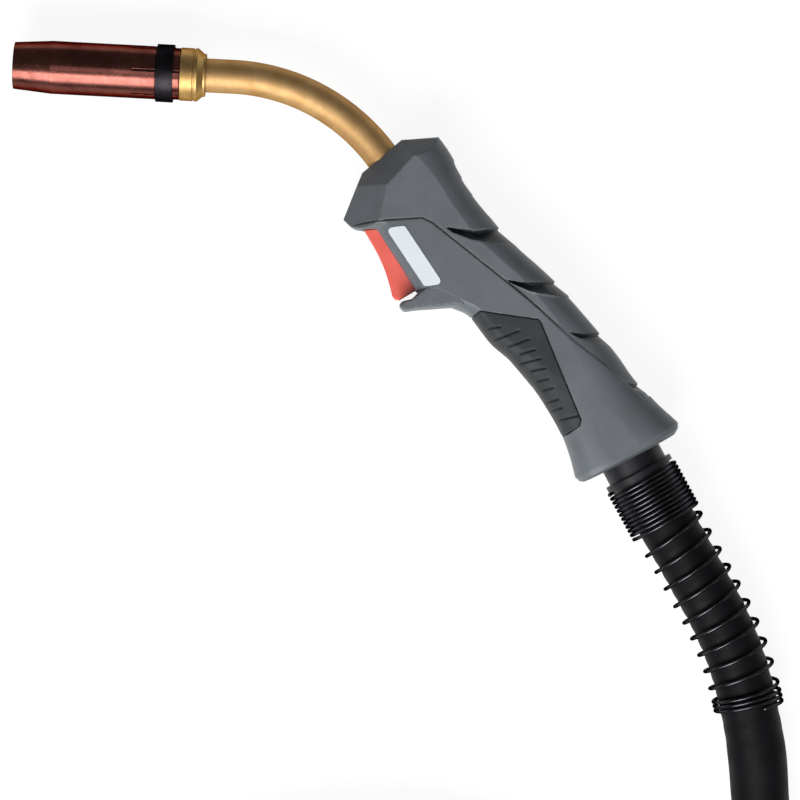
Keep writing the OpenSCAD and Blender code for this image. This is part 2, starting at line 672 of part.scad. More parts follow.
track = hose_d + 1.4;                    // distance between the coil's tracks
lift = hose_d + 0.9;                     // distance between its two layers
coil_c = [route_end[0] - coil_r, route_end[1] - hose_d];
spiral = (coil_turns - 0.5) / 2;         // turns in each layer, besides the half turn that climbs
RINGS = 24;                              // rings of the tube in each loop

function coil_radius(n) = coil_r - track * (n < spiral ? n / spiral
    : n < spiral + 0.5 ? 1 : 1 - (n - spiral - 0.5) / spiral);
function coil_height(n) = low + lift * smooth((n - spiral) / 0.5);
function coil_point(n) = [coil_c[0] + coil_radius(n) * cos(360 * n),
    coil_c[1] - coil_radius(n) * sin(360 * n), coil_height(n)];
// The middle of the straight piece between two rings: its distance from the coil's middle, and its height.
function coil_mid(n) = let (p = (coil_point(n - 0.5 / RINGS) + coil_point(n + 0.5 / RINGS)) / 2)
    [norm([p[0] - coil_c[0], p[1] - coil_c[1]]), p[2]];

// The hose rolls off the coil's outer side, comes down beside it, then runs straight into the plug.
off_from = 360 * (coil_turns - 2);
off_to = 82;                             // the angle at which it has come down
OFF_STEPS = 8;
tail_at = [coil_c[0], coil_c[1] - coil_r - track, low];
boot_len = 30;
hose_pocket = 8;                         // how far the hose reaches into the plug's housing
tail_rise = 60;                          // length over which the tail rises to the plug's height
TAIL_STEPS = 6;
plug_at = [tail_at[0] - hose_d - tail_rise - boot_len - 2, tail_at[1], nut_d / 2 + 1];
coil_path = concat([route_end],
    [for (k = [0 : ceil(coil_turns * RINGS) - 1]) coil_point(k / RINGS)],
    [for (k = [0 : OFF_STEPS]) let (a = off_from + (off_to - off_from) * k / OFF_STEPS,
        roll = 90 * smooth(k / OFF_STEPS), r = coil_r + track * sin(roll))
        [coil_c[0] + r * cos(a), coil_c[1] - r * sin(a), low + lift * cos(roll)]],
    [tail_at, tail_at - [hose_d, 0, 0]]);
tail_path = concat([for (k = [0 : TAIL_STEPS])
    tail_at - [hose_d + tail_rise * k / TAIL_STEPS, 0, (low - plug_at[2]) * smooth(k / TAIL_STEPS)]],
    [plug_at - [hose_pocket, 0, 0]]);

module hose_lead() {
    line = spline(route, 2);
    color("black") tube(line, level(line), hose_d / 2, 12, first = stem_point(1) - stem_point(0), last = [0, -1, 0]);
}

module hose_coil() {
    color("black") tube(coil_path, level(coil_path), hose_d / 2, 6, first = [0, -1, 0], last = [-1, 0, 0]);
}

module hose_tail() {
    color("black") tube(tail_path, level(tail_path), hose_d / 2, 12, first = [-1, 0, 0], last = [-1, 0, 0]);
}

module coil_straps() {
    color("dimgray") for (n = [10.5 / RINGS, 16.5 / RINGS]) {
        a = coil_mid(n);
        b = coil_mid(n + 1);
        translate([coil_c[0], coil_c[1], 0]) rotate([0, 0, -360 * n]) translate([0, strap_w / 2, 0])
            rotate([90, 0, 0]) linear_extrude(strap_w) difference() {
                hull() {
                    translate(a) circle(r = low, $fn = 32);
                    translate(b) circle(r = low, $fn = 32);
                }
                hull() {
                    translate(a) circle(r = low - strap_t, $fn = 32);
                    translate(b) circle(r = low - strap_t, $fn = 32);
                }
            }
    }
}

// ---- Support spring, wound around the hose ----
CURL_RINGS = 8;
fine = spline(route, 6);
fine_at = lengths(fine);
turns = close_turns + open_turns + end_turns;
round_up = 1 / cos(180 / CURL_RINGS / 2);      // evens out the eight-sided turns
function spring_s(t) = wire_d / 2 + CLEAR + close_pitch * min(t, close_turns)
    + open_pitch * min(max(t - close_turns, 0), open_turns)
    + close_pitch * max(t - close_turns - open_turns, 0);
function spring_r(t) = round_up * ((spring_d + (spring_open_d - spring_d) * smooth(t - close_turns))
    - wire_d) / 2;
function spring_dir(t) = let (s = spring_s(t))
    unit(along(fine, fine_at, s + 3) - along(fine, fine_at, max(s - 3, 0)));
function spring_out(t) = let (d = spring_dir(t), side = unit(cross(d, [0, 0, 1])))
    cos(360 * t) * side - sin(360 * t) * cross(side, d);
function spring_point(t) = along(fine, fine_at, spring_s(t)) + spring_r(t) * spring_out(t);
spring_times = [for (k = [0 : turns * CURL_RINGS]) k / CURL_RINGS];
spring_path = [for (t = spring_times) spring_point(t)];

module support_spring() {
    color("dimgray") tube(spring_path, [for (t = spring_times) spring_out(t)], wire_d / 2, 6);
}

// ---- Plug, from the hose's end towards -X ----
contact_r = plug_d / 2 + 2.8;
contact_in = 12;      // how far the contact pins reach into the housing
contact_out = 14;     // and how far they stand out of it
boss_d = 2 * contact_r + contact_d + 2.4;
boss_len = 5.2;       // the housing's boss, round which the coupling nut turns
plug_flange_d = boss_d + 5;
plug_flange_t = 3.5;
flange_from = housing_len + boss_len;
body_from = flange_from + plug_flange_t;
body_to = body_from + plug_len;
shank_d = 16;
shank_len = 30;
spigot_in = 8;
spigot_out = 14;
seal_t = 1.6;
seal_at = 5;          // where the seal lies on the spigot, from the body's end

module at_plug(g = 0) {
    translate([plug_at[0] - g, plug_at[1], plug_at[2]]) rotate([0, -90, 0]) children();
}

module contact_holes(from, to) {
    for (side = [-1, 1]) translate([side * contact_r, 0, from])
        cylinder(d = contact_d + 2 * CLEAR, h = to - from);
}

module plug_boot() {
    color("black") at_plug(-boot_len) difference() {
        cylinder(d1 = hose_d + 4, d2 = nut_d - 7, h = boot_len);
        translate([0, 0, -CUT]) cylinder(d = hose_d + 2 * SNUG, h = boot_len + 2 * CUT);
    }
}

module plug_housing() {
    cone_len = 16;
    color("darkslategray") at_plug() difference() {
        union() {
            cylinder(d1 = nut_d - 6, d2 = nut_d - 2, h = cone_len);
            translate([0, 0, cone_len]) cylinder(d = nut_d - 2, h = housing_len - cone_len);
            translate([0, 0, housing_len]) cylinder(d = boss_d, h = boss_len);
        }
        translate([0, 0, -CUT]) cylinder(d = hose_d + 2 * SNUG, h = hose_pocket + CUT);
        cylinder(d = shank_d + 2 * SNUG, h = flange_from + CUT);
        contact_holes(housing_len - contact_in - 6, flange_from + CUT);
    }
}

module plug_body() {
    color("gold") at_plug() difference() {
        union() {
            translate([0, 0, flange_from - shank_len]) cylinder(d = shank_d, h = shank_len);
            translate([0, 0, flange_from]) cylinder(d = plug_flange_d, h = plug_flange_t);
            translate([0, 0, body_from]) cylinder(d = plug_d, h = plug_len);
        }
        translate([0, 0, flange_from - shank_len - CUT]) cylinder(d = 5, h = FAR + plug_len + shank_len);
        translate([0, 0, body_to - spigot_in]) cylinder(d = spigot_d + 2 * SNUG, h = spigot_in + CUT);
        contact_holes(flange_from - CUT, body_from + CUT);
    }
}

module contact_pins() {
    color("gold") at_plug(housing_len - contact_in) for (side = [-1, 1])
        translate([side * contact_r, 0, 0]) cylinder(d = contact_d, h = contact_in + contact_out);
}

module gas_spigot() {
    nose = 2;
    color("lightgray") at_plug(body_to - spigot_in) difference() {
        union() {
            cylinder(d = spigot_d, h = spigot_in + spigot_out - nose);
            translate([0, 0, spigot_in + spigot_out - nose])
                cylinder(d1 = spigot_d, d2 = spigot_d - 3, h = nose);
        }
        translate([0, 0, -CUT]) cylinder(d = 4, h = FAR);
        translate([0, 0, spigot_in + seal_at - seal_t / 2 - SNUG]) difference() {
            cylinder(d = spigot_d + 2, h = seal_t + 2 * SNUG);
            translate([0, 0, -CUT]) cylinder(d = spigot_d - 1.6 * seal_t, h = seal_t + 3 * CUT);
        }
    }
}

module spigot_seal() {
    color("black") at_plug(body_to + seal_at) rotate_extrude()
        translate([spigot_d / 2 - 0.3 * seal_t + SNUG, 0]) circle(d = seal_t);
}

module coupling_nut() {
    flutes = 18;
    flute_d = 4;
    flute_deep = 0.9;
    lip = boss_len - 2 * CLEAR;
    color("dimgray") at_plug(housing_len + CLEAR) difference() {
        cylinder(d = nut_d, h = nut_len);
        for (k = [0 : flutes - 1]) rotate([0, 0, 360 * (k + 0.5) / flutes])
            translate([(nut_d + flute_d) / 2 - flute_deep, 0, -CUT]) cylinder(d = flute_d, h = nut_len - 2);
        translate([0, 0, -CUT]) cylinder(d = boss_d + 2 * CLEAR, h = lip + 2 * CUT);
        translate([0, 0, lip]) cylinder(d = plug_flange_d + 2 * CLEAR, h = nut_len);
    }
}

lead_len = max(lengths(spline(route, 2)));
coil_len = max(lengths(coil_path));
tail_len = max(lengths(tail_path));
echo(hose_mm = lead_len + coil_len + tail_len, lead_len, coil_len, tail_len);
echo(spring_gap_mm = least_gap(spring_path, wire_d, CURL_RINGS - 2, 4 * CURL_RINGS));
echo(coil_gap_mm = least_gap(coil_path, hose_d, RINGS / 2, 3 * RINGS));
echo(spring_len = spring_s(turns), ball_at = ball_at);
echo(head = [head_x, head_y], mouth_x = head_x - mouth_at);
echo(plug_at = plug_at, plug_front = plug_at[0] - body_to, face = face, pin = P(pin_at[0], pin_at[1]));

gas_nozzle();
nozzle_clip_ring();
nozzle_seat();
gas_diffuser();
tip_holder();
contact_tip();
neck_collar();
swan_neck();
wire_liner();
handle_shell_left();
handle_shell_right();
grip_insert();
label_plate();
shell_screws();
power_block();
trigger();
trigger_pin();
trigger_spring();
microswitch();
switch_plunger();
inner_leads();
joint_ball();
ball_liner();
hose_lead();
support_spring();
hose_coil();
hose_tail();
coil_straps();
plug_boot();
plug_housing();
plug_body();
contact_pins();
gas_spigot();
spigot_seal();
coupling_nut();
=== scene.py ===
# %% [markdown]
# # A MIG welding torch
# This torch feeds a wire and a stream of gas into a welding arc. It has a copper gas nozzle, a bent
# brass neck, a grey handle with a red trigger, and a thick hose that ends in a plug.
# The solid model of every piece is loaded first, as a frame that stays as it is. This lesson then
# gives the pieces finer forms and real finishes. The frame's own numbers say where each piece goes,
# so nothing is fitted by eye.

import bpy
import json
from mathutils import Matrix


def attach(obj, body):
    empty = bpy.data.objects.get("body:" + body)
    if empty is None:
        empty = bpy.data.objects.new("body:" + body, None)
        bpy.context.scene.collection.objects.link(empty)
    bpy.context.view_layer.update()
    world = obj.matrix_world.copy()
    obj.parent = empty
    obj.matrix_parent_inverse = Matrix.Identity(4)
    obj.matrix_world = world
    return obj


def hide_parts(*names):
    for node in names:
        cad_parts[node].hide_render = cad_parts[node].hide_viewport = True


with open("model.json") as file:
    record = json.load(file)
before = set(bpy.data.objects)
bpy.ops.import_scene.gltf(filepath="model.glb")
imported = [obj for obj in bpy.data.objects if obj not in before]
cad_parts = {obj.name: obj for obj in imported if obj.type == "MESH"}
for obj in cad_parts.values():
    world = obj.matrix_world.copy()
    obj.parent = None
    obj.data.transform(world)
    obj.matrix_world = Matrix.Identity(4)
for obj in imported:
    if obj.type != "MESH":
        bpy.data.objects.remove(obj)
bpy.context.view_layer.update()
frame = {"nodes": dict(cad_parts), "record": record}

# %% [markdown]
# ## Units
# Blender measures in metres, but a drawing of a small tool is in millimetres. All measures below
# are written in millimetres and multiplied by MM once, where a mesh is made. NumPy keeps the many
# points of a form in one table, which is shorter to write than loops and quicker to run.

# %% Imports and units
import json
import math

import bmesh
import bpy
import numpy as np
from mathutils import Matrix, Vector

MM = 0.001
AXIS_Z = 21.0  # how high the middle of neck and handle lies over the bench
nodes = frame["nodes"]
scene = bpy.context.scene
print("nodes of the frame:", len(nodes))

# %% [markdown]
# ## Colours
# A finish is easiest to name in the values that a screen shows, from 0 to 255. Blender mixes light
# in linear values instead, so the same numbers would come out far too pale. This helper turns the
# first into the second.

# %% Colours
def srgb(r, g, b):
    """A colour given in 8-bit screen values, as the linear values that Blender mixes."""
    def linear(v):
        v = v / 255
        return v / 12.92 if v < 0.04045 else ((v + 0.055) / 1.055) ** 2.4
    return (linear(r), linear(g), linear(b), 1.0)


print("middle grey:", [round(part, 3) for part in srgb(128, 128, 128)])

# %% [markdown]
# ## A mesh and its finish
# Every form below is worked out as points and faces. One helper makes the object from them and
# shades it smooth, since moulded, turned and bent pieces have no visible facets. Another gives all
# material slots of a piece the same finish, because the frame's solids come with their slots in
# place.

# %% A mesh and its finish
def add_mesh(name, points, faces):
    """A new smooth-shaded mesh object from points in millimetres."""
    mesh = bpy.data.meshes.new(name)
    mesh.from_pydata([tuple(float(c) * MM for c in p) for p in points], [], faces)
    mesh.validate()
    mesh.update()
    mesh.shade_smooth()
    piece = bpy.data.objects.new(name, mesh)
    scene.collection.objects.link(piece)
    return piece


def dress(piece, material):
    """Gives every material slot of a piece the same material."""
    if not piece.material_slots:
        piece.data.materials.append(material)
    for place in piece.material_slots:
        place.material = material


print("meshes before the lesson:", len(bpy.data.meshes))

# %% [markdown]
# ## Camera
# The torch lies on its side and is seen from straight above. A short lens close by would make the
# high handle look larger than the low hose. A long lens from almost two metres keeps every outline
# true, so the picture is 364.8 mm wide on the bench. The camera is turned by three degrees, which
# lays the nozzle a little off level.

# %% Camera
camera = bpy.data.objects.new("camera", bpy.data.cameras.new("camera"))
scene.collection.objects.link(camera)
scene.camera = camera
SENSOR = 36
picture_width = 364.8 * MM
view_height = 1.9
camera.data.sensor_width = SENSOR
camera.data.lens = SENSOR * view_height / picture_width
camera.location = (-19.7 * MM, -59.5 * MM, AXIS_Z * MM + view_height)
camera.rotation_euler = (0, 0, math.radians(3))
camera.data.clip_start = 0.01
camera.data.clip_end = 50
print("lens, mm:", round(camera.data.lens, 1))

# %% [markdown]
# ## Floor
# The bench is one large flat face just below the torch. A curved backdrop isn't needed, because the
# camera looks straight down and never sees a horizon.

# %% Floor
FAR = 9000
BENCH_Z = -0.2
floor = add_mesh("floor", [(-FAR, -FAR, BENCH_Z), (FAR, -FAR, BENCH_Z), (FAR, FAR, BENCH_Z),
                           (-FAR, FAR, BENCH_Z)], [(0, 1, 2, 3)])
print("floor faces:", len(floor.data.polygons))

# %% [markdown]
# ## Lamps
# Brass and copper look like metal only when they mirror something. Point lamps give them hard dots,
# while the softboxes of a studio give long soft streaks, and a rectangular area lamp is just that.
# A large one in front is the key, a narrow one draws the bright line along nozzle and neck, and two
# weak ones open the shadows on the back and the side.

# %% Softboxes
MIDDLE = Vector((-0.02, -0.06, 0.02))


def softbox(name, towards, distance, width, depth, watts):
    """A rectangular lamp that looks at the middle of the torch. Its sizes are in metres."""
    lamp = bpy.data.lights.new(name, "AREA")
    lamp.shape = "RECTANGLE"
    lamp.size = width
    lamp.size_y = depth
    lamp.energy = watts
    holder = bpy.data.objects.new(name, lamp)
    holder.location = MIDDLE + Vector(towards).normalized() * distance
    holder.rotation_euler = (MIDDLE - holder.location).to_track_quat("-Z", "Y").to_euler()
    holder.visible_camera = False
    scene.collection.objects.link(holder)


softbox("key softbox", (-0.25, -1.08, 1), 1.6, 1.2, 1.0, 26)
softbox("streak softbox", (-0.1, -0.6, 1), 1.6, 0.9, 0.14, 4)
softbox("overhead softbox", (0.0, -0.1, 1), 2.6, 0.6, 0.6, 4.2)
softbox("side softbox", (1.25, 0.05, 1), 1.6, 0.4, 0.5, 0.9)
print("lamps:", [lamp.name for lamp in bpy.data.lights])

# %% [markdown]
# ## Light all round
# A room sends a little light from everywhere. More of it would turn black rubber grey and wash the
# bevels out, so the world stays weak. The Standard view shows a colour about as it is written.

# %% Light all round
world = bpy.data.worlds.new("studio")
world.use_nodes = True
sky = world.node_tree.nodes["Background"].inputs
sky["Color"].default_value = srgb(236, 240, 244)
sky["Strength"].default_value = 0.15
scene.world = world
scene.view_settings.view_transform = "Standard"
print("world strength:", round(sky["Strength"].default_value, 2))

# %% [markdown]
# ## The hose's route
# The real hose is stiff and as thick as a thumb. It leaves the ball joint in line with the handle,
# bends in one long easy curve and comes down on to the bench. Its middle line is drawn first, and
# everything on it follows: the sleeve, the spring, the straps and the boot.

# %% The hose where it leaves the handle
STEM_ANG = math.radians(58.3)
BALL = np.array([72.9126, -57.9585, AXIS_Z])
STEM = np.array([math.cos(STEM_ANG), -math.sin(STEM_ANG), 0.0])
HOSE_D = 27.0
FREE = 1.7  # room left under the hose for its folds and the straps
LOW = HOSE_D / 2 + FREE


def stem_point(d):
    """A point on the ball joint's stem, d from the ball's middle."""
    return BALL + d * STEM


route = [stem_point(35.5), stem_point(49.5), stem_point(62)] + [np.array(p, float) for p in [
    (112.8, -121.7, 20.7), (121.7, -136, 20.1), (130.6, -150.5, 19.3), (138.4, -166.2, 18.4),
    (144.3, -182.3, 17.4), (148.6, -198.5, 16.4), (151.8, -214.8, 15.7), (154.2, -230, 15.3),
    (156.6, -250, LOW), (158.8, -275, LOW), (160, -305, LOW), (160, -340, LOW), (160, -375, LOW),
    (160, -410, LOW)]]
print("points before the coil:", len(route))

# %% [markdown]
# ## A smooth curve
# Straight lines between the points would leave kinks. A Blender curve object smooths them too, but
# its points can't be measured until it is evaluated. Here the curve is computed: at each point it
# takes its direction from the neighbours on both sides.

# %% A smooth curve through points
def curve_through(points, steps):
    """A smooth curve through the points, with this many steps between each two."""
    line = []
    for i in range(len(points) - 1):
        a = points[max(i - 1, 0)]
        b = points[i]
        c = points[i + 1]
        d = points[min(i + 2, len(points) - 1)]
        m = (c - a) / 2
        o = (d - b) / 2
        for k in range(steps):
            t = k / steps
            line.append((2 * t**3 - 3 * t**2 + 1) * b + (t**3 - 2 * t**2 + t) * m
                        + (3 * t**2 - 2 * t**3) * c + (t**3 - t**2) * o)
    line.append(points[-1])
    return line


def soft_step(x):
    """0 below 0, 1 above 1, and an easy rise between."""
    x = min(max(x, 0.0), 1.0)
    return x * x * (3 - 2 * x)


route_line = curve_through(route, 12)
print("curve points before the coil:", len(route_line))

# %% [markdown]
# ## The coil
# A torch is put away with its hose in a coil, thirteen hose widths across, because a stiff hose
# doesn't like a tighter turn. The turns wind inwards on the bench, climb on to the first turn over
# half a circle, and wind out again on top. A screw modifier would make an even corkscrew, which
# doesn't lie on a bench.

# %% The coil
COIL_R = 176.0
COIL_TURNS = 2.07
TRACK = HOSE_D + 1.4
LIFT = HOSE_D + 0.9
CLIMB = 0.5
SPIRAL = (COIL_TURNS - CLIMB) / 2
COIL_C = np.array([160 - COIL_R, -437.0])


def coil_point(n):
    """The hose's middle after n turns of the coil: inwards, up on to the first turn, outwards."""
    if n < SPIRAL:
        r = COIL_R - TRACK * n / SPIRAL
    elif n < SPIRAL + CLIMB:
        r = COIL_R - TRACK
    else:
        r = COIL_R - TRACK * (1 - (n - SPIRAL - CLIMB) / SPIRAL)
    a = 2 * math.pi * n
    return np.array([COIL_C[0] + r * math.cos(a), COIL_C[1] - r * math.sin(a),
                     LOW + LIFT * soft_step((n - SPIRAL) / CLIMB)])


print("a quarter turn in:", coil_point(0.25).round(1))

# %% [markdown]
# ## The tail
# After the second turn the hose rolls down beside the coil, runs straight along the bench and rises
# a little, since its plug is thicker than itself and holds it up.

# %% The tail to the plug
tail_from = 360 * (COIL_TURNS - 2)
ROLL_TO = 82
ROLL_STEPS = 8
RISE_STEPS = 6
PLUG = np.array([-135.0, COIL_C[1] - COIL_R - TRACK, 24.0])
tail = []
for k in range(ROLL_STEPS + 1):
    a = math.radians(tail_from + (ROLL_TO - tail_from) * k / ROLL_STEPS)
    roll = math.pi / 2 * soft_step(k / ROLL_STEPS)
    r = COIL_R + TRACK * math.sin(roll)
    tail.append(np.array([COIL_C[0] + r * math.cos(a), COIL_C[1] - r * math.sin(a),
                          LOW + LIFT * math.cos(roll)]))
rise_from = COIL_C[0] - HOSE_D
tail.append(np.array([COIL_C[0], PLUG[1], LOW]))
for k in range(RISE_STEPS + 1):
    tail.append(np.array([rise_from - 60 * k / RISE_STEPS, PLUG[1],
                          LOW + (PLUG[2] - LOW) * soft_step(k / RISE_STEPS)]))
tail.append(np.array([PLUG[0] - 8, PLUG[1], PLUG[2]]))
print("points of the tail:", len(tail))

# %% [markdown]
# ## One line
# The three stretches are joined. Points that fall on each other are dropped, because a tube has no
# direction between them. The torch is three metres long over all.

# %% The whole line
COIL_STEPS = 96
drawn = list(route_line)
drawn += [coil_point(k / COIL_STEPS) for k in range(int(COIL_TURNS * COIL_STEPS) + 1)]
drawn += curve_through(tail, 10)
hose_line = [p for i, p in enumerate(drawn) if i == 0 or np.linalg.norm(p - drawn[i - 1]) > 0.05]

# %% [markdown]
# ## A tube along a line
# Hose, spring wire, neck and boot are all round tubes along a line. A curve with a bevel makes a
# plain one. A tube that is built ring by ring can also change its radius from ring to ring and
# round each ring, which folds and ribs need, and its ends are closed.

# %% A tube along a line
def ring_faces(sides, rings):
    """The faces of a closed body made of equal rings of points, one after the other."""
    faces = []
    for i in range(rings - 1):
        for j in range(sides):
            k = (j + 1) % sides
            faces.append((i * sides + j, i * sides + k, (i + 1) * sides + k, (i + 1) * sides + j))
    faces.append(tuple(reversed(range(sides))))
    faces.append(tuple(range((rings - 1) * sides, rings * sides)))
    return faces


def tube(name, line, radius, sides, out=None):
    """A closed round tube along a line. radius is a number, or a function of ring and angle."""
    line = [np.array(p, float) for p in line]
    points = []
    for i, p in enumerate(line):
        ahead = line[min(i + 1, len(line) - 1)] - line[max(i - 1, 0)]
        ahead = ahead / np.linalg.norm(ahead)
        up = np.array([0.0, 0.0, 1.0]) if abs(ahead[2]) < 0.95 else np.array([1.0, 0.0, 0.0])
        across = out[i] if out is not None else np.cross(ahead, up)
        across = across - across.dot(ahead) * ahead
        across = across / np.linalg.norm(across)
        other = np.cross(across, ahead)
        for j in range(sides):
            a = 2 * math.pi * j / sides
            r = radius(i, a) if callable(radius) else radius
            points.append(p + r * (math.cos(a) * across + math.sin(a) * other))
    return add_mesh(name, points, ring_faces(sides, len(line)))


print("faces of a short tube:", len(ring_faces(8, 3)))

# %% [markdown]
# ## Even rings
# Folds in the sleeve are counted in millimetres along the hose, so its rings must stand an even
# step apart. The line is measured once and then read off at even distances.

# %% Rings an even step apart
RING_STEP = 2.5


def measured(line):
    """How far along the line each of its points lies."""
    at = [0.0]
    for a, b in zip(line, line[1:]):
        at.append(at[-1] + float(np.linalg.norm(b - a)))
    return at


def point_at(line, at, s):
    """The point that lies s along a measured line."""
    flat = np.asarray(line)
    return np.array([np.interp(s, at, flat[:, c]) for c in range(3)])


def even(line, step):
    """The same line with points an even step apart."""
    at = measured(line)
    flat = np.array(line)
    wanted = np.linspace(0, at[-1], int(round(at[-1] / step)) + 1)
    return [point_at(flat, at, s) for s in wanted]


hose_even = even(hose_line, RING_STEP)
print("hose rings:", len(hose_even))

# %% [markdown]
# ## Hose
# A thin black sleeve is drawn over cable, gas line and wire guide. The spring holds it tight, and
# beyond the spring it lies slack in shallow folds and dents. Random noise would look like dirt on
# it. Slow waves of different lengths, which drift round the hose, look like loose cloth on a pipe.

# %% Hose
SPRING_END = 112
OPEN_PITCH = 8.95


def sleeve_radius(i, a):
    """The sleeve's radius at ring i and angle a: slack creases beyond the spring, calm below it."""
    s = i * RING_STEP
    slack = soft_step((s - SPRING_END) / 30)
    crease = 0.5 * math.sin(s / 7.3 + 1.7 * math.sin(s / 31)) * math.cos(a - 0.6 + s / 90)
    fold = 0.36 * math.sin(s / 17.0 + 2 * a)
    press = soft_step(math.sin(s / 9.1 + 2.1 * math.sin(s / 47)))
    dent = -0.75 * press * max(math.cos(a + 2.6 - s / 60), 0) ** 2
    under = 0.2 * math.sin(2 * math.pi * (s - 25.5) / OPEN_PITCH) * soft_step((s - 26) / 10) * (1 - slack)
    bulge = 0.9 * math.exp(-((s - 27.5) / 2.6) ** 2) * max(math.cos(a - math.pi), 0)
    return HOSE_D / 2 - 0.4 + slack * (crease + fold + dent) + under + bulge


hose = tube("hose", hose_even, sleeve_radius, 40)
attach(hose, "hose")
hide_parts("hose_lead", "hose_coil", "hose_tail")
print("hose points:", len(hose.data.vertices))

# %% [markdown]
# ## Support spring
# A wire spring keeps the hose from kinking behind the handle. Eleven close turns sit on the ball
# joint's collar, ten open turns reach along the hose, and three close ones end it. A screw modifier
# makes a straight spring with one pitch. Here the axis bends and the pitch changes, so the wire's
# place is worked out turn by turn.

# %% The spring's measures
WIRE = 1.8
CLOSE_D = 35
OPEN_D = 32.6
FIRST = 1.1  # how far along the hose the first turn's wire lies
STEPS_PER_TURN = 36
CLOSE_TURNS = 11
OPEN_TURNS = 9.7
END_TURNS = 3
CLOSE_PITCH = 2.09
END_PITCH = 2.3
ALL_TURNS = CLOSE_TURNS + OPEN_TURNS + END_TURNS
route_flat = np.array(route_line)
route_at = measured(route_line)


def along_route(s):
    """The point s along the hose's middle line, from the handle."""
    return point_at(route_flat, route_at, s)


def spring_s(t):
    """How far along the hose the wire is after t turns."""
    return (FIRST + CLOSE_PITCH * min(t, CLOSE_TURNS)
            + OPEN_PITCH * min(max(t - CLOSE_TURNS, 0), OPEN_TURNS)
            + END_PITCH * max(t - CLOSE_TURNS - OPEN_TURNS, 0))


print("spring length along the hose, mm:", round(spring_s(ALL_TURNS), 1))

# %% Spring
spring_line = []
spring_out = []
for k in range(int(ALL_TURNS * STEPS_PER_TURN) + 1):
    t = k / STEPS_PER_TURN
    s = spring_s(t)
    ahead = along_route(s + 3) - along_route(max(s - 3, 0))
    ahead = ahead / np.linalg.norm(ahead)
    side = np.cross(ahead, [0, 0, 1.0])
    side = side / np.linalg.norm(side)
    a = 2 * math.pi * t
    out = math.cos(a) * side - math.sin(a) * np.cross(side, ahead)
    r = (CLOSE_D + (OPEN_D - CLOSE_D) * soft_step(t - CLOSE_TURNS) - WIRE) / 2
    spring_line.append(along_route(s) + r * out)
    spring_out.append(out)
spring = tube("spring", spring_line, WIRE / 2, 10, out=spring_out)
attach(spring, "hose")
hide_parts("support_spring")
print("spring points:", len(spring_line))

# %% [markdown]
# ## Straps
# Two woven straps tie the coil. A strap runs round both turns as a belt runs over two pulleys: half
# a circle on each and straight between. It is modelled as a flat band with thin edges and no
# simulation, because it is pulled tight.

# %% Straps of the coil
STRAP_STEPS = 16
STRAP_INNER = HOSE_D / 2 + 0.45
STRAP_ACROSS = [-10.0, -9.3, 9.3, 10.0]
# Round the strap's section: 0 for its inner and 1 for its outer face, and the place across it.
STRAP_SECTION = [(0, 0), (0, 1), (0, 2), (0, 3), (1, 3), (1, 2), (1, 1), (1, 0)]


def strap_band(name, n):
    """A woven strap that goes round both turns of the coil, n turns from the coil's start."""
    a = 2 * math.pi * n
    outward = np.array([math.cos(a), -math.sin(a), 0.0])
    along = np.array([-math.sin(a), -math.cos(a), 0.0])
    low_turn = coil_point(n)
    high_turn = coil_point(n + 1)
    r1 = np.array([np.dot(low_turn[:2] - COIL_C, outward[:2]), low_turn[2]])
    r2 = np.array([np.dot(high_turn[:2] - COIL_C, outward[:2]), high_turn[2]])
    apart = r2 - r1
    lean = math.atan2(apart[1], apart[0])
    path = [(mid, lean + start + math.pi * k / STRAP_STEPS)
            for mid, start in ((r1, math.pi / 2), (r2, -math.pi / 2)) for k in range(STRAP_STEPS + 1)]
    points = []
    faces = []
    for mid, b in path:
        for layer, w in STRAP_SECTION:
            edge = w in (0, 3)
            r = STRAP_INNER + ((0.85 if edge else 1.15) if layer else (0.25 if edge else 0.0))
            q = mid + r * np.array([math.cos(b), math.sin(b)])
            points.append(np.array([COIL_C[0], COIL_C[1], 0.0]) + q[0] * outward
                          + q[1] * np.array([0, 0, 1.0]) + STRAP_ACROSS[w] * along)
    sides = len(STRAP_SECTION)
    for i in range(len(path)):
        on = (i + 1) % len(path)
        for j in range(sides):
            k = (j + 1) % sides
            faces.append((i * sides + j, i * sides + k, on * sides + k, on * sides + j))
    band = add_mesh(name, points, faces)
    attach(band, "hose")
    return band


straps = [strap_band("strap_1", 10.5 / 24), strap_band("strap_2", 16.5 / 24)]
for strap in straps:
    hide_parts("coil_straps")
print("straps:", [strap.name for strap in straps])

# %% [markdown]
# ## Boot
# A rubber boot spreads the bend where the hose enters the plug. It grows towards the plug, and its
# ribs let it bend evenly. The tube helper makes it from one list of radii, ring by ring.

# %% The plug's boot
BOOT_LENGTH = 30
BOOT_STEPS = 60
BOOT_BACK = 15.5
BOOT_FRONT = 19.5
RIB = 0.7
boot_line = []
boot_sizes = []
for k in range(BOOT_STEPS + 1):
    size = BOOT_BACK + (BOOT_FRONT - BOOT_BACK) * k / BOOT_STEPS
    rib = RIB if (k % 10) in (4, 5, 6, 7) and k < 55 else 0.0
    boot_line.append(PLUG + np.array([BOOT_LENGTH - BOOT_LENGTH * k / BOOT_STEPS, 0, 0]))
    boot_sizes.append(size - RIB + rib)
boot = tube("plug_boot_ribbed", boot_line, lambda i, a: boot_sizes[i], 48)
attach(boot, "hose")
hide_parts("plug_boot")
print("boot rings:", len(boot_line))
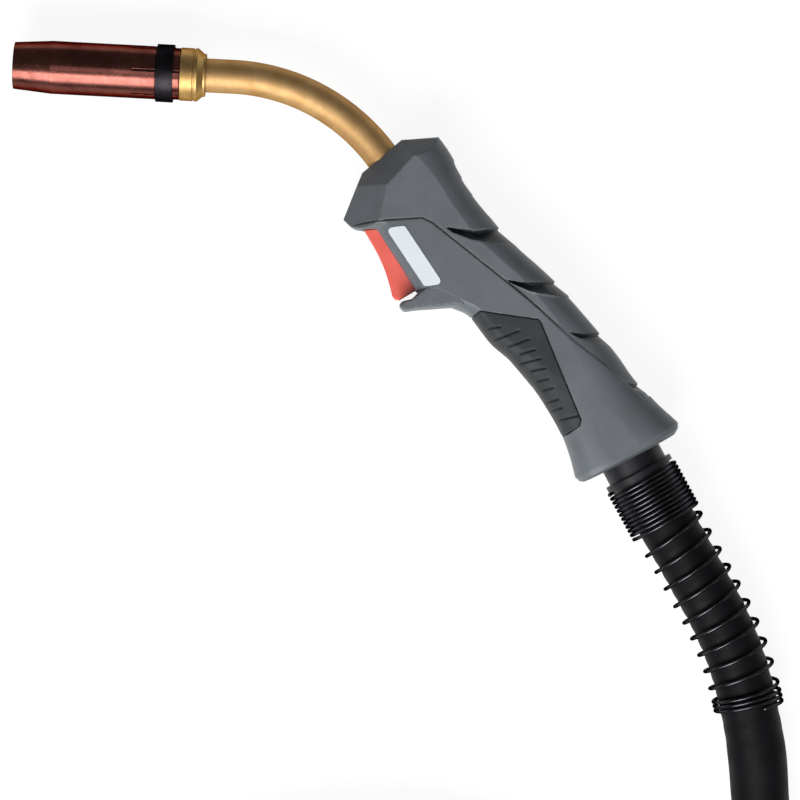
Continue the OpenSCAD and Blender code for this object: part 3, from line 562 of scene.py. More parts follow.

# %% [markdown]
# ## The cord
# Hose, spring, straps, boot and plug belong to one free cord.

# %% [markdown]
# ## Handle
# The handle is moulded in two halves, with a bevelled head, a raised panel, four fins across its
# back and a flared end. A box that is subdivided gives soft, vague forms, and the edges here are
# crisp. So the handle is lofted from sections, as a ship's hull is, and its lines are carved by
# formulas.
# It lies askew on the bench, so it has its own directions: s along the handle from the neck, t
# across it from belly to back, z out of the side.

# %% The handle's own frame
HANDLE_ANG = math.radians(47.3)
HANDLE_S = 60  # s and t of the point that lies at the model's origin
HANDLE_T = -9.7
SIDE_W = 20.4
WALL = 3.0


def handle_world(p):
    """Points given as s, t and z of the handle, in mm of the model's frame."""
    p = np.asarray(p, float)
    s = p[..., 0] - HANDLE_S
    t = p[..., 1] - HANDLE_T
    c = math.cos(HANDLE_ANG)
    n = math.sin(HANDLE_ANG)
    return np.stack([s * c + t * n, t * c - s * n, p[..., 2] + AXIS_Z], axis=-1)


print("the handle's front, mm:", handle_world((0, 0, 0)).round(2))

# %% [markdown]
# ## Stations
# A station is one section: a point on the belly, a point on the back, half the width, and how
# square the section is. Close stations make a sharp change, wide ones a calm stretch.

# %% Stations along the handle
# Each station: s and t at the belly, s and t at the back, half width, and 0 for round to 1 for square.
STATIONS = np.array([
    (0.0, -11.8, 0.0, 11.8, 21.8, 1.0), (10.8, -31.9, 9.5, 25.5, 21.9, 1.0), (15.5, -31.4, 15, 25.2, 22, 1),
    (19.4, -28.6, 21, 24.4, 22, 1), (24.9, -23.3, 28, 22.4, 22, 1), (32, -24.2, 34, 21.2, 22, 1),
    (44, -25.6, 44, 20.4, 22, 1), (56.5, -27.3, 57, 20.2, 22, 1), (65, -23, 65, 20.5, 22, 1),
    (73, -19.3, 73, 21.2, 21.8, 1), (82, -15.6, 83, 22.8, 21.6, 1), (96, -16.2, 96, 24.4, 21.4, 1),
    (110, -14.3, 110, 25.2, 21, 1), (124, -14.2, 125, 25.4, 20.6, 0.9), (137, -15.5, 138, 25.2, 20.4, 0.8),
    (149, -17.7, 151, 24.2, 20.4, 0.7), (159.5, -21.3, 163, 24.4, 20.6, 0.6),
    (168.6, -25.6, 179, 26.4, 20.6, 0.5), (171.2, -25.2, 181.0, 24.9, 20.4, 0.5),
    (172.4, -24, 182.2, 22, 19.2, 0.4)])
print("stations:", len(STATIONS))

# %% [markdown]
# ## Lines on the side
# These outlines are drawn on the flat of the side, in s and t: the raised panel, the bare plate,
# the long crease and flank at the back, the grip pad, and the edge of the flared end.

# %% Lines on the handle's side
REAR_EDGE = [(172.4, -26), (183.0, 26)]
PANEL = [(16.5, -29.4), (23.3, -18.2), (33.5, -4.2), (37.7, -2.2), (74.1, 5.4), (98.4, 10.3), (130, 14.8),
         (130, -45), (16.5, -45)]
LABEL = [(26.5, -20), (31, -12.6), (62.6, -16), (57.8, -23.3)]
BACK = [(80, 7.2), (83.7, 8.6), (91, 12.3), (97.6, 18.1), (103.2, 23.6), (104, 32), (163.5, 32),
        (160.8, 21.3), (150, 20), (136, 16.7), (117.7, 12.9), (97, 9.7)]
CREASE = [(96, 9.9), (98.4, 10.3), (117.7, 12.5), (136, 16.9), (160.8, 21.5)]
PAD = [(82, -30), (82.2, -10.8), (102, 7), (104.2, 7.1), (149.6, -7.1), (151.5, -9.7), (149.5, -30)]
print("outline points of the panel:", len(PANEL))

# %% [markdown]
# ## Small forms
# Four fins cross the back, with a deep floor under each that painted shadow darkens. Small notches follow
# the head. The grip pad has eleven short grooves for the fingers, and four screws hold the halves
# together from the other side.

# %% Fins, notches, grooves and screws
# Each fin: its sharp upper edge, and the lower edge where its floor has risen again.
FINS = [
    ([(43.4, 1), (52.3, 9.5), (54.6, 13.2), (58.9, 19.7), (59.5, 32)],
     [(43.4, 1), (47.6, 2.2), (55.6, 6.7), (63.2, 13), (70.1, 21.2), (71, 32)]),
    ([(78.9, 7), (84, 11.1), (88.6, 17.1), (93.9, 23.9), (94.5, 32)],
     [(78.9, 7), (83.7, 8.6), (91, 12.3), (97.6, 18.1), (103.2, 23.6), (104, 32)]),
    ([(115.2, 13.7), (119.7, 17.8), (125, 24.6), (125.5, 32)],
     [(115.2, 13.7), (120.5, 15.8), (126.9, 20.2), (133.2, 25.6), (134, 32)]),
    ([(149.5, 18.7), (153.8, 23.1), (154.5, 32)],
     [(149.5, 18.7), (154.8, 20.9), (159.3, 23.4), (160, 32)])]
# The notches on the back next to the head: from and to, and how far across the back reaches there.
NOTCHES = [(22.6, 30.5, 22.8, 21.8), (30.6, 39.4, 20.8, 20.4), (39.6, 52, 19.6, 19.9)]
GROOVES = [(91, -13.3, 5.3, 60), (96.9, -14, 11.4, 71.6), (103, -11.7, 10.1, 71.6), (108.9, -9.7, 7.3, 67),
           (112.4, -12.5, 9.7, 66), (118, -10.8, 6.6, 63), (123.4, -11.6, 5, 64), (128.4, -12.1, 4.3, 68),
           (133.6, -14.3, 5.2, 68), (138, -14.8, 4.4, 70), (143.5, -14.6, 8.4, 64.7)]
# Each screw: s, t and how far from the middle the head's underside lies.
SCREWS = [(16, 12.5, 14.4), (13.5, -21, 8.6), (68, 10.5, 14.4), (110, 14, 14.4)]
SLOT = [(23.1, -22.6), (19.6, -27.5), (19.6, -40), (57.2, -40), (57.6, -27.6), (57.6, -15), (23.1, -15)]
# The head's bevelled edge: its inner corners, where the flat side ends.
HEAD_CORNERS = [(21.5, -19.5), (11.8, -6.9), (9.4, 10.9), (16.4, 21.1)]
print("fins:", len(FINS), "grooves:", len(GROOVES), "screws:", len(SCREWS))

# %% [markdown]
# ## Distance from a line
# Carving with booleans leaves ragged edges on a dense mesh. A formula that knows how far each point
# lies from a drawn line can lower the surface there by any profile: a step, a groove or a ridge.
# These helpers give that distance and an easy ramp between two values.

# %% Distance from a drawn line
def edge_distance(s, t, start, end):
    """The distance of points from one straight edge."""
    ds = end[0] - start[0]
    dt = end[1] - start[1]
    share = np.clip(((s - start[0]) * ds + (t - start[1]) * dt) / (ds * ds + dt * dt), 0, 1)
    return np.hypot(s - start[0] - share * ds, t - start[1] - share * dt)


def inside_distance(p, outline):
    """How far each point lies inside a closed outline, in s and t; negative outside it."""
    s = p[..., 0]
    t = p[..., 1]
    least = np.full(s.shape, 1e9)
    inside = np.zeros(s.shape, bool)
    for (s0, t0), (s1, t1) in zip(outline, outline[1:] + outline[:1]):
        least = np.minimum(least, edge_distance(s, t, (s0, t0), (s1, t1)))
        if t0 != t1:
            crosses = (t0 > t) != (t1 > t)
            inside ^= crosses & (s < s0 + (t - t0) * (s1 - s0) / (t1 - t0))
    return np.where(inside, least, -least)


def line_distance(p, line):
    """The distance of each point from an open line, in s and t."""
    s = p[..., 0]
    t = p[..., 1]
    least = np.full(s.shape, 1e9)
    for start, end in zip(line, line[1:]):
        least = np.minimum(least, edge_distance(s, t, start, end))
    return least


def ramp(x, low, high):
    """0 below low, 1 above high, and an easy rise between, for whole tables of numbers."""
    u = np.clip((x - low) / (high - low), 0, 1)
    return u * u * (3 - 2 * u)


probe = np.array([[40.0, -20.0, 0.0]])
print("a point of the panel lies this far inside, mm:", inside_distance(probe, PANEL).round(2))

# %% [markdown]
# ## Rows
# A smooth curve through stations often bulges past them, which shows as a wave on the outline. The
# slope used here is the harmonic mean of its neighbours, which never overshoots, and beside a sharp
# station the row stays straight.

# %% Rows between the stations
ROWS_PER_MM = 2.3
SHARP = {1, 17, 18, 19}


def smooth_rows(stations, per_mm, sharp):
    """Rows between the stations, on a curve that never overshoots, straight beside sharp ones."""
    steps = np.diff(stations, axis=0)
    slopes = np.zeros_like(stations)
    product = steps[:-1] * steps[1:]
    with np.errstate(divide="ignore", invalid="ignore"):
        slopes[1:-1] = np.where(product > 0, 2 * product / (steps[:-1] + steps[1:]), 0)
    slopes[0] = steps[0]
    slopes[-1] = steps[-1]
    rows = []
    for i, step in enumerate(steps):
        a = steps[i] if i in sharp else slopes[i]
        b = steps[i] if i + 1 in sharp else slopes[i + 1]
        length = max(abs(step[0]), abs(step[2]), abs(step[1]) * 0.7)
        count = max(int(round(length * per_mm)), 2)
        for k in range(count):
            u = k / count
            rows.append(stations[i] * (2 * u**3 - 3 * u**2 + 1) + stations[i + 1] * (3 * u**2 - 2 * u**3)
                        + a * (u**3 - 2 * u**2 + u) + b * (u**3 - u**2))
    rows.append(stations[-1])
    return np.array(rows)


rows = smooth_rows(STATIONS, ROWS_PER_MM, SHARP)
print("rows of the handle:", len(rows))

# %% [markdown]
# ## Sections
# Each half section is a superellipse, a curve that goes from round to square with one number. The
# belly is squarer than the back, and a cap flattens the side, where the real handle is flat for the
# plate. Even spacing along the section keeps the faces small where lines are carved.

# %% Sections from belly to back
def section_points(rows, columns, inset=0.0, belly_square=4.6, back_square=2.7, cap=SIDE_W):
    """The points of all half sections, evenly spaced from belly to back. cap is where the side is flat."""
    a = np.linspace(0, math.pi, 1441)
    grid = []
    for sb, tb, sk, tk, half, square in rows:
        most = np.where(a < math.pi / 2, belly_square, back_square)
        power = 2 / (2 + square * (most - 2))
        x = -np.sign(np.cos(a)) * np.abs(np.cos(a)) ** power
        z = np.maximum(np.sin(a), 0) ** power
        reach = math.hypot(sk - sb, tk - tb) / 2
        way = np.array([sk - sb, tk - tb]) / (2 * reach)
        line = np.stack([(sb + sk) / 2 + (reach - inset) * x * way[0],
                         (tb + tk) / 2 + (reach - inset) * x * way[1],
                         np.minimum((half - inset) * z, cap - inset)], axis=-1)
        at = np.concatenate([[0], np.cumsum(np.linalg.norm(np.diff(line, axis=0), axis=1))])
        wanted = np.linspace(0, at[-1], columns)
        grid.append(np.stack([np.interp(wanted, at, line[:, c]) for c in range(3)], axis=-1))
    return np.array(grid)


print("one section:", section_points(STATIONS[8:9], 60).shape)

# %% [markdown]
# ## Fins
# Under its sharp upper edge the floor of a fin falls at once, and then rises slowly to the surface
# again. The depth is a function of how far a point lies between the two edges, so the fin runs out
# to a point by itself where they meet.

# %% Depth of a fin's floor
def fin_depth(p):
    """How deep each point lies under a fin: 1 at its sharp edge, 0 where the floor has risen again."""
    deep = np.zeros(p.shape[:-1])
    for upper, lower in FINS:
        upper = np.array(upper)
        lower = np.array(lower)
        s_up = np.interp(p[..., 1], upper[:, 1], upper[:, 0], left=1e6)
        s_low = np.interp(p[..., 1], lower[:, 1], lower[:, 0], left=-1e6)
        width = np.maximum(s_low - s_up, 0.01)
        v = (p[..., 0] - s_up) / width
        edge = ramp(p[..., 0] - s_up, -0.1, 0.55)
        deep = np.maximum(deep, np.where((v > -0.2) & (s_low > s_up), edge * np.clip(1 - v, 0, 1), 0)
                          * ramp(width, 0.2, 2.5))
    return deep


print("depth just under the first fin's edge:", fin_depth(np.array([[56.0, 13.0, 20.0]])).round(2))

# %% [markdown]
# ## Bevels of the head
# The head looks as if it were cut with a knife: four flat faces meet in straight edges. Flat means
# a plane, and a plane is fixed by three corners. The lowest of all planes over a point is the
# surface there, so the edges between them come out straight.

# %% The head's bevels
def facet(p, a, b, c):
    """The height above each point of the plane through three corners, each with s, t and z."""
    (sa, ta, za), (sb, tb, zb), (sc, tc, zc) = a, b, c
    det = (sb - sa) * (tc - ta) - (sc - sa) * (tb - ta)
    u = ((p[..., 0] - sa) * (tc - ta) - (sc - sa) * (p[..., 1] - ta)) / det
    v = ((sb - sa) * (p[..., 1] - ta) - (p[..., 0] - sa) * (tb - ta)) / det
    return za + u * (zb - za) + v * (zc - za)


def head_top(p):
    """The height of the head's bevel planes above each point."""
    chin, front, back, rear = [(s, t, SIDE_W) for s, t in HEAD_CORNERS]
    low_front = (0.0, -11.8, 9.4)
    low_back = (0.0, 11.8, 9.4)
    planes = [facet(p, front, back, low_back), facet(p, chin, front, low_front),
              facet(p, back, rear, low_back)]
    return np.minimum(np.minimum(planes[0], planes[1]), planes[2])


print("height at the head's front edge:", head_top(np.array([[0.0, 0.0, 0.0]])).round(2))

# %% [markdown]
# ## Carving
# The plain form is lowered along its normals by the sum of all small forms. The panel stands half a
# millimetre proud with a fine line round it, the crease and the flank are pressed in, and the seat
# of the grip pad is two millimetres deep.

# %% Which way is inwards
def inward_of(grid):
    """The direction into the handle at each point of a grid of outside points."""
    across = np.cross(np.gradient(grid, axis=0), np.gradient(grid, axis=1))
    across = across / np.maximum(np.linalg.norm(across, axis=-1, keepdims=True), 1e-9)
    return np.where((across[..., 2] > 0)[..., None], -across, across)


print("into the handle, at its side:", inward_of(section_points(rows[:4], 60))[1, 30].round(2))

# %% Carving the outside
PANEL_PROUD = 0.5
LINE_DEEP = 0.42
FLANK_DEEP = 0.6
CREASE_DEEP = 0.3
PAD_SEAT = 2.1


def outer_form(grid):
    """The handle's outside: the plain form with its panel, lines, fins, notches and bevels."""
    points = grid.copy()
    points[..., 2] = np.minimum(points[..., 2], np.maximum(head_top(points), 0) * (points[..., 2] > 0.01))
    inward = inward_of(points)
    side = ramp(points[..., 2], 8, 14)
    panel = inside_distance(points, PANEL)
    fade = side * (1 - ramp(points[..., 0], 84, 108))
    depth = -PANEL_PROUD * ramp(panel, -0.3, 0.35) * fade
    depth += LINE_DEEP * np.exp(-(panel / 0.32) ** 2) * fade
    depth += FLANK_DEEP * ramp(inside_distance(points, BACK), -0.5, 0.5)
    depth += CREASE_DEEP * np.exp(-(line_distance(points, CREASE) / 0.45) ** 2)
    depth += fin_depth(points) * (4.0 - 2.7 * ramp(points[..., 1], 12, 20))
    depth += PAD_SEAT * ramp(inside_distance(points, PAD), 0.05, 0.5)
    points += inward * depth[..., None]
    for s0, s1, t0, t1 in NOTCHES:
        s = points[..., 0]
        here = ramp(s, s0, s0 + 0.5) * (1 - ramp(s, s1 - 0.6, s1)) * (1 - ramp(points[..., 2], 7.4, 8.2))
        limit = t0 + (t1 - t0) * (s - s0) / (s1 - s0)
        points[..., 1] -= here * np.maximum(points[..., 1] - limit, 0)
    points[..., 2] = np.maximum(points[..., 2], 0)
    return points


print("the carving helper is ready")

# %% [markdown]
# ## A closed half
# A boolean cut needs a closed body whose faces all look outwards. The grid of outside points is
# closed with a flat in the handle's middle, and the right half is the same grid turned over.

# %% A closed half
def face_outwards(piece):
    """Turns all faces of a closed piece outwards, as a cut and the shading need them."""
    mend = bmesh.new()
    mend.from_mesh(piece.data)
    bmesh.ops.recalc_face_normals(mend, faces=mend.faces)
    mend.to_mesh(piece.data)
    mend.free()


def half_body(name, grid, mirrored):
    """A closed half form from its grid of outside points; its flat lies in the handle's middle."""
    rows, columns = grid.shape[:2]
    points = grid.copy()
    points[:, 0, 2] = 0
    points[:, -1, 2] = 0
    points = points.reshape(-1, 3)
    faces = []
    for i in range(rows - 1):
        for j in range(columns - 1):
            a = i * columns + j
            faces.append((a, a + 1, a + columns + 1, a + columns))
        last = i * columns + columns - 1
        faces.append((last, i * columns, (i + 1) * columns, last + columns))
    faces.append(tuple(reversed(range(columns))))
    faces.append(tuple(range((rows - 1) * columns, rows * columns)))
    if mirrored:
        points = points * np.array([1, 1, -1])
        faces = [tuple(reversed(f)) for f in faces]
    piece = add_mesh(name, handle_world(points), faces)
    face_outwards(piece)
    return piece


print("the half's helper is ready")

# %% [markdown]
# ## Cutting
# Holes and slots are plain forms taken away by a boolean modifier. It is applied at once, by
# copying the evaluated mesh, so the finished piece carries no modifier and no hidden cutter. The
# manifold solver is the quick and exact one for closed bodies.

# %% Cutting
def prism(name, outline, low, high):
    """A straight block with the given outline in s and t, from low to high."""
    points = [(s, t, low) for s, t in outline] + [(s, t, high) for s, t in outline]
    return add_mesh(name, handle_world(points), ring_faces(len(outline), 2))


MOUTH_R = 15.2
MOUTH_SHIFT = 5.02
MOUTH_SIDES = 64


def mouth(name, start, end):
    """A block with round ends along the ball joint's stem: it is wider where the stem tilts to."""
    outline = []
    for k in range(MOUTH_SIDES):
        a = 2 * math.pi * (k + 0.5) / MOUTH_SIDES
        outline.append((MOUTH_SHIFT * np.sign(math.cos(a)) + MOUTH_R * math.cos(a), MOUTH_R * math.sin(a)))
    across = np.array([-STEM[1], STEM[0], 0.0])
    points = []
    for d in (start, end):
        points += [stem_point(d) + u * across + np.array([0, 0, v]) for u, v in outline]
    return add_mesh(name, points, ring_faces(len(outline), 2))


def cut(piece, cutter):
    """Takes the cutter's form out of the piece. Gives its number of points before and after."""
    face_outwards(cutter)
    modifier = piece.modifiers.new("cut", "BOOLEAN")
    modifier.operation = "DIFFERENCE"
    modifier.solver = "MANIFOLD"
    modifier.object = cutter
    settled = bpy.data.meshes.new_from_object(piece.evaluated_get(bpy.context.evaluated_depsgraph_get()))
    piece.modifiers.clear()
    before = len(piece.data.vertices)
    piece.data = settled
    bpy.data.objects.remove(cutter)
    return before, len(settled.vertices)


print("cutters: prism, tube and mouth")

# %% [markdown]
# ## The outside
# The neck enters the head at its own angle, fifty degrees to the nozzle, while the handle lies at
# 47.3. The grid of the outside has some 190 points round each half and a row every half millimetre,
# fine enough for the lines to look moulded.

# %% The handle's outside
FACE = handle_world((0, 0, 0))
NECK_ANG = math.radians(50)
NECK_WAY = np.array([math.cos(NECK_ANG), -math.sin(NECK_ANG), 0.0])


def neck_point(d):
    """A point on the neck's straight end, d behind the handle's front face."""
    return FACE + d * NECK_WAY


form = outer_form(section_points(rows, 190))
print("handle grid:", form.shape, "tallest, mm:", round(float(form[..., 2].max()), 2))

# %% [markdown]
# ## Two shells
# Both halves are hollow, as mouldings are, with a slot for the trigger, a socket for the neck, a
# round seat for the ball joint and a mouth in which its stem can tilt. The right half also has four
# deep holes for the screws. Every form that is cut away is removed again after its use.

# %% Two shells
NECK_HOLE_R = 7.8
MOUTH_FROM = 8.87
SEAT_R = 17.6
COUNTERBORE_R = 2.95


def ball_form(name, radius):
    """A ball of many even faces in the middle of the ball joint."""
    ball = bmesh.new()
    bmesh.ops.create_icosphere(ball, subdivisions=4, radius=radius * MM)
    mesh = bpy.data.meshes.new(name)
    ball.to_mesh(mesh)
    ball.free()
    mesh.transform(Matrix.Translation(Vector(BALL) * MM))
    piece = bpy.data.objects.new(name, mesh)
    scene.collection.objects.link(piece)
    return piece


hollow = section_points(smooth_rows(STATIONS[4:14], 0.4, set()), 40, inset=WALL + 1.8)
shells = []
for side, mirrored in (("left", False), ("right", True)):
    up = -1 if mirrored else 1
    shell = half_body("handle_" + side + "_shell", form, mirrored)
    inner = half_body("hollow", hollow, mirrored)
    inner.data.transform(Matrix.Translation((0, 0, -up * 0.3 * MM)))
    print(side, "hollow", cut(shell, inner))
    print(side, "slot", cut(shell, prism("slot", SLOT, -7.8, 7.8)))
    print(side, "neck", cut(shell, tube("hole", [neck_point(-40), neck_point(40)], NECK_HOLE_R, 64)))
    print(side, "mouth", cut(shell, mouth("mouth", MOUTH_FROM, 60)))
    print(side, "seat", cut(shell, ball_form("seat", SEAT_R)))
    if mirrored:
        for s, t, under in SCREWS:
            way = [handle_world((s, t, -30)), handle_world((s, t, -under))]
            cut(shell, tube("counterbore", way, COUNTERBORE_R, 40))
    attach(shell, "torch")
    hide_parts("handle_shell_" + side)
    shells.append(shell)

# %% [markdown]
# ## Guard
# A spur behind the trigger keeps fingers and bench from pressing it by chance. It is a separate
# loft, merged into each shell's mesh. A boolean union isn't needed, since the seam lies inside the
# shell, and the sharp angle keeps its edges crisp.

# %% Guard behind the trigger
GUARD_ROWS = np.array([
    (57.0, -37.2, 56.7, -35.9, 18.0, 1), (58.0, -37.7, 56.8, -35.0, 20.0, 1),
    (60.1, -37.5, 57.6, -33.2, 20.9, 1), (63.1, -33.3, 58.5, -31.0, 21.2, 1),
    (66.3, -28.8, 58.3, -28.4, 21.4, 1), (69.6, -24.2, 58.1, -25.0, 21.4, 1),
    (72.8, -19.8, 58.1, -21.0, 21.4, 1), (77.0, -15.0, 58.1, -14.0, 21.4, 1)])
guard_form = section_points(smooth_rows(GUARD_ROWS, 1.6, {0}), 70, belly_square=7, back_square=7, cap=20.85)
for shell, mirrored in zip(shells, (False, True)):
    guard = half_body("guard", guard_form, mirrored)
    parts = bmesh.new()
    parts.from_mesh(shell.data)
    parts.from_mesh(guard.data)
    parts.to_mesh(shell.data)
    parts.free()
    bpy.data.objects.remove(guard)
    shell.data.shade_smooth()
    shell.data.set_sharp_from_angle(angle=math.radians(38))
    print(shell.name, "with guard, points:", len(shell.data.vertices))

# %% [markdown]
# ## Screws
# Four plated screws sit deep in the right half. A screw's head is a turned form: a profile of
# distances and radii, spun round its axis. The Screw modifier does the same, but the helper gives a
# closed body that a hexagon can be cut from.

# %% Turned pieces
def turned(name, origin, way, profile, sides):
    """A turned piece: its profile gives the distance along the way and the radius there, in mm."""
    way = np.array(way, float) / np.linalg.norm(way)
    across = np.cross(way, [0, 0, 1.0] if abs(way[2]) < 0.9 else [1.0, 0, 0])
    across = across / np.linalg.norm(across)
    other = np.cross(across, way)
    points = []
    for d, r in profile:
        for j in range(sides):
            a = 2 * math.pi * j / sides
            out = math.cos(a) * across + math.sin(a) * other
            points.append(np.array(origin, float) + d * way + r * out)
    piece = add_mesh(name, points, ring_faces(sides, len(profile)))
    face_outwards(piece)
    return piece


print("the turning helper is ready")

# %% Four screws
SHANK = 6
SCREW = [(0, 1.35), (SHANK, 1.35), (6.01, 2.5), (6.2, 2.7), (8.0, 2.7), (8.5, 2.45), (8.7, 2.0)]
HEXAGON = [(7.2, 1.25), (9.5, 1.25)]
DOWN = (0, 0, -1)
screws = []
for number, (s, t, under) in enumerate(SCREWS):
    start = handle_world((s, t, SHANK - under))
    screw = turned("shell_screw_" + str(number + 1), start, DOWN, SCREW, 48)
    cut(screw, turned("socket", start, DOWN, HEXAGON, 6))
    screw.data.shade_smooth()
    screw.data.set_sharp_from_angle(angle=math.radians(40))
    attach(screw, "torch")
    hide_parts("shell_screws")
    screws.append(screw)
print("screws:", [piece.name for piece in screws])

# %% [markdown]
# ## Painted shade
# Fin floors, the panel's fine line, the narrow band at the rear edge, and the grip pad's sunken edge
# and grooves get painted shade: their colour is darkened where shadow falls. The seam between the
# halves, a dark joint, is stored in the same mask. Ambient occlusion would find such places anew for
# each render. A value stored at each point travels with the mesh, and the material can read it by its
# name.

# %% Reading a piece's points
def handle_local(p):
    """The inverse of handle_world: points of the model's frame, in mm, as s, t and z."""
    c = math.cos(HANDLE_ANG)
    n = math.sin(HANDLE_ANG)
    s = p[:, 0] * c - p[:, 1] * n + HANDLE_S
    t = p[:, 0] * n + p[:, 1] * c + HANDLE_T
    return np.stack([s, t, p[:, 2] - AXIS_Z], axis=-1)


def vertex_points(piece):
    """All points of a piece's mesh, in mm."""
    flat = np.empty(len(piece.data.vertices) * 3)
    piece.data.vertices.foreach_get("co", flat)
    return flat.reshape(-1, 3) / MM


def keep_painted_shade(piece, amount):
    """Stores painted shade at each point, from 0 to 1, for the material to read."""
    layer = piece.data.attributes.new("shade", "FLOAT", "POINT")
    layer.data.foreach_set("value", np.clip(amount, 0, 1).astype(np.float32))


print("places come back:", handle_local(handle_world(np.array([[10.0, 5.0, 2.0]]))).round(3))

# %% Painted shade of the shells
for shell in shells:
    at = handle_local(vertex_points(shell))
    side = ramp(np.abs(at[:, 2]), 8, 14)
    # The panel's fine line: painted shade in its groove.
    line = np.exp(-((inside_distance(at, PANEL) + 0.05) / 0.34) ** 2) * side * (1 - ramp(at[:, 0], 108, 116))
    # The seam between the halves: a dark joint.
    seam = np.exp(-(at[:, 2] / 0.22) ** 2)
    # Fin floors: painted shadow under each fin's sharp edge.
    fin_floor_painted_shadow = ramp(fin_depth(at), 0.02, 0.1) * ramp(np.abs(at[:, 2]), 0.5, 5)
    # The narrow band before the rear edge: painted shade.
    rear = 0.55 * (1 - ramp(line_distance(at, REAR_EDGE), 1.1, 1.6))
    keep_painted_shade(shell, np.max([0.75 * line, 0.7 * seam, fin_floor_painted_shadow, rear], axis=0))
    print(shell.name, "shaded points:", int((fin_floor_painted_shadow > 0.5).sum()))

# %% [markdown]
# ## Grip pad
# A pad of dark soft rubber is set into the belly, with grooves for the fingers. It uses the same
# sections as the handle, so it follows the hand's curve, sinks at its edge below the plastic, and
# has its grooves pressed in by the same distance formula.

# %% The pad's form
GROOVE_DEEP = 0.85
EDGE_DEEP = 3.2
CUT_AWAY = 3.0
PROUD = 0.1


def groove_lines():
    """The start and end of each groove, in s and t."""
    for s0, t0, length, angle in GROOVES:
        a = math.radians(angle)
        yield [(s0, t0), (s0 + length * math.cos(a), t0 + length * math.sin(a))]


pad_grid = section_points(smooth_rows(STATIONS[9:17], 2.6, set()), 200)
deep = EDGE_DEEP * (1 - ramp(inside_distance(pad_grid, PAD), -0.05, 0.6)) - PROUD
for groove in groove_lines():
    deep += GROOVE_DEEP * np.exp(-(line_distance(pad_grid, groove) / 0.4) ** 2)
pad_grid = pad_grid + inward_of(pad_grid) * deep[..., None]
keep = deep < CUT_AWAY
print("pad points kept:", int(keep.sum()))

# %% The pad's mesh
rows, columns = pad_grid.shape[:2]
points = []
faces = []
for mirrored in (False, True):
    base = len(points)
    points += list(pad_grid.reshape(-1, 3) * np.array([1, 1, -1 if mirrored else 1]))
    for i in range(rows - 1):
        for j in range(columns - 1):
            if keep[i:i + 2, j:j + 2].any():
                a = base + i * columns + j
                face = (a, a + 1, a + columns + 1, a + columns)
                faces.append(tuple(reversed(face)) if mirrored else face)
pad = add_mesh("grip_pad", handle_world(np.array(points)), faces)
clean = bmesh.new()
clean.from_mesh(pad.data)
bmesh.ops.delete(clean, geom=[v for v in clean.verts if not v.link_faces], context="VERTS")
bmesh.ops.remove_doubles(clean, verts=clean.verts, dist=0.02 * MM)
bmesh.ops.recalc_face_normals(clean, faces=clean.faces)
clean.to_mesh(pad.data)
clean.free()
print("pad faces:", len(pad.data.polygons))

# %% Painted shade of the pad's edge and grooves
at = handle_local(vertex_points(pad))
# The pad's edge, where it sinks under the plastic, and its grooves get painted shade.
dark = 1 - ramp(inside_distance(at, PAD), 0.05, 0.55)
for groove in groove_lines():
    dark = np.maximum(dark, 0.7 * np.exp(-(line_distance(at, groove) / 0.36) ** 2))
keep_painted_shade(pad, dark)
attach(pad, "torch")
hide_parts("grip_insert")
print("pad points in grooves or at the edge:", int((dark > 0.5).sum()))

# %% [markdown]
# ## Bare plate
# A thin pale plate with round corners is glued beside the trigger. It is left bare. Its outline is
# rounded by a true arc at each corner, since a bevel of the finished mesh would also change its
# thin edge.

# %% Rounded corners
def round_corners(outline, radius, steps):
    """The outline with each corner rounded, as a closed list of points."""
    done = []
    count = len(outline)
    for i, corner in enumerate(outline):
        corner = np.array(corner, float)
        back = np.array(outline[i - 1], float) - corner
        on = np.array(outline[(i + 1) % count], float) - corner
        back /= np.linalg.norm(back)
        on /= np.linalg.norm(on)
        half = math.acos(np.clip(back.dot(on), -1, 1)) / 2
        a = corner + back * radius / math.tan(half)
        b = corner + on * radius / math.tan(half)
        middle = corner + (back + on) / np.linalg.norm(back + on) * radius / math.sin(half)
        for k in range(steps + 1):
            u = k / steps
            q = a + (b - a) * u - middle
            done.append(tuple(middle + q / np.linalg.norm(q) * radius))
    return done


label_outline = round_corners(LABEL, 1.8, 6)
print("points of the plate's outline:", len(label_outline))

# %% Blank plate
# Its layers: how high each lies over the handle's middle, and how much smaller it is.
LABEL_LAYERS = [(20.4, 0.0), (21.05, 0.0), (21.2, 0.12), (21.25, 0.35)]
label_middle = np.mean(np.array(label_outline), axis=0)
points = []
for height, shrink in LABEL_LAYERS:
    for q in label_outline:
        way = np.array(q) - label_middle
        points.append((*(np.array(q) - way / np.linalg.norm(way) * shrink), height))
faces = ring_faces(len(label_outline), len(LABEL_LAYERS))
label = add_mesh("blank_label", handle_world(np.array(points)), faces)
label.data.shade_flat()
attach(label, "torch")
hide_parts("label_plate")
print("plate points:", len(label.data.vertices))

# %% [markdown]
# ## Trigger
# The red trigger is a lever of plastic with a hollow front edge for the finger and a foot that
# reaches into the handle. One outline is drawn and given its width, and its long edges get a narrow
# chamfer, as a moulding has. The frame's own solid turns with it, since both ride on the same body.

# %% The trigger's outline
FINGER = [(20.3, -27.8), (30.9, -29.5), (39.3, -31.7), (46, -34.3), (51.6, -37)]
FOOT = [(53.8, -37.1), (55.2, -35.6), (56.5, -27.5), (56.3, -24), (33, -22.6), (31.4, -19.5),
        (24.0, -19.5), (23.7, -23.1)]
finger = [tuple(p) for p in curve_through([np.array(p, float) for p in FINGER], 8)]
# Two points of the curve stand beside its ends, so that the end corners are rounded along it.
rounded = round_corners([finger[0], finger[3], finger[-4], finger[-1]] + FOOT, 0.55, 3)
trigger_line = rounded[:4] + finger[2:-2] + rounded[12:]
print("outline points:", len(trigger_line))

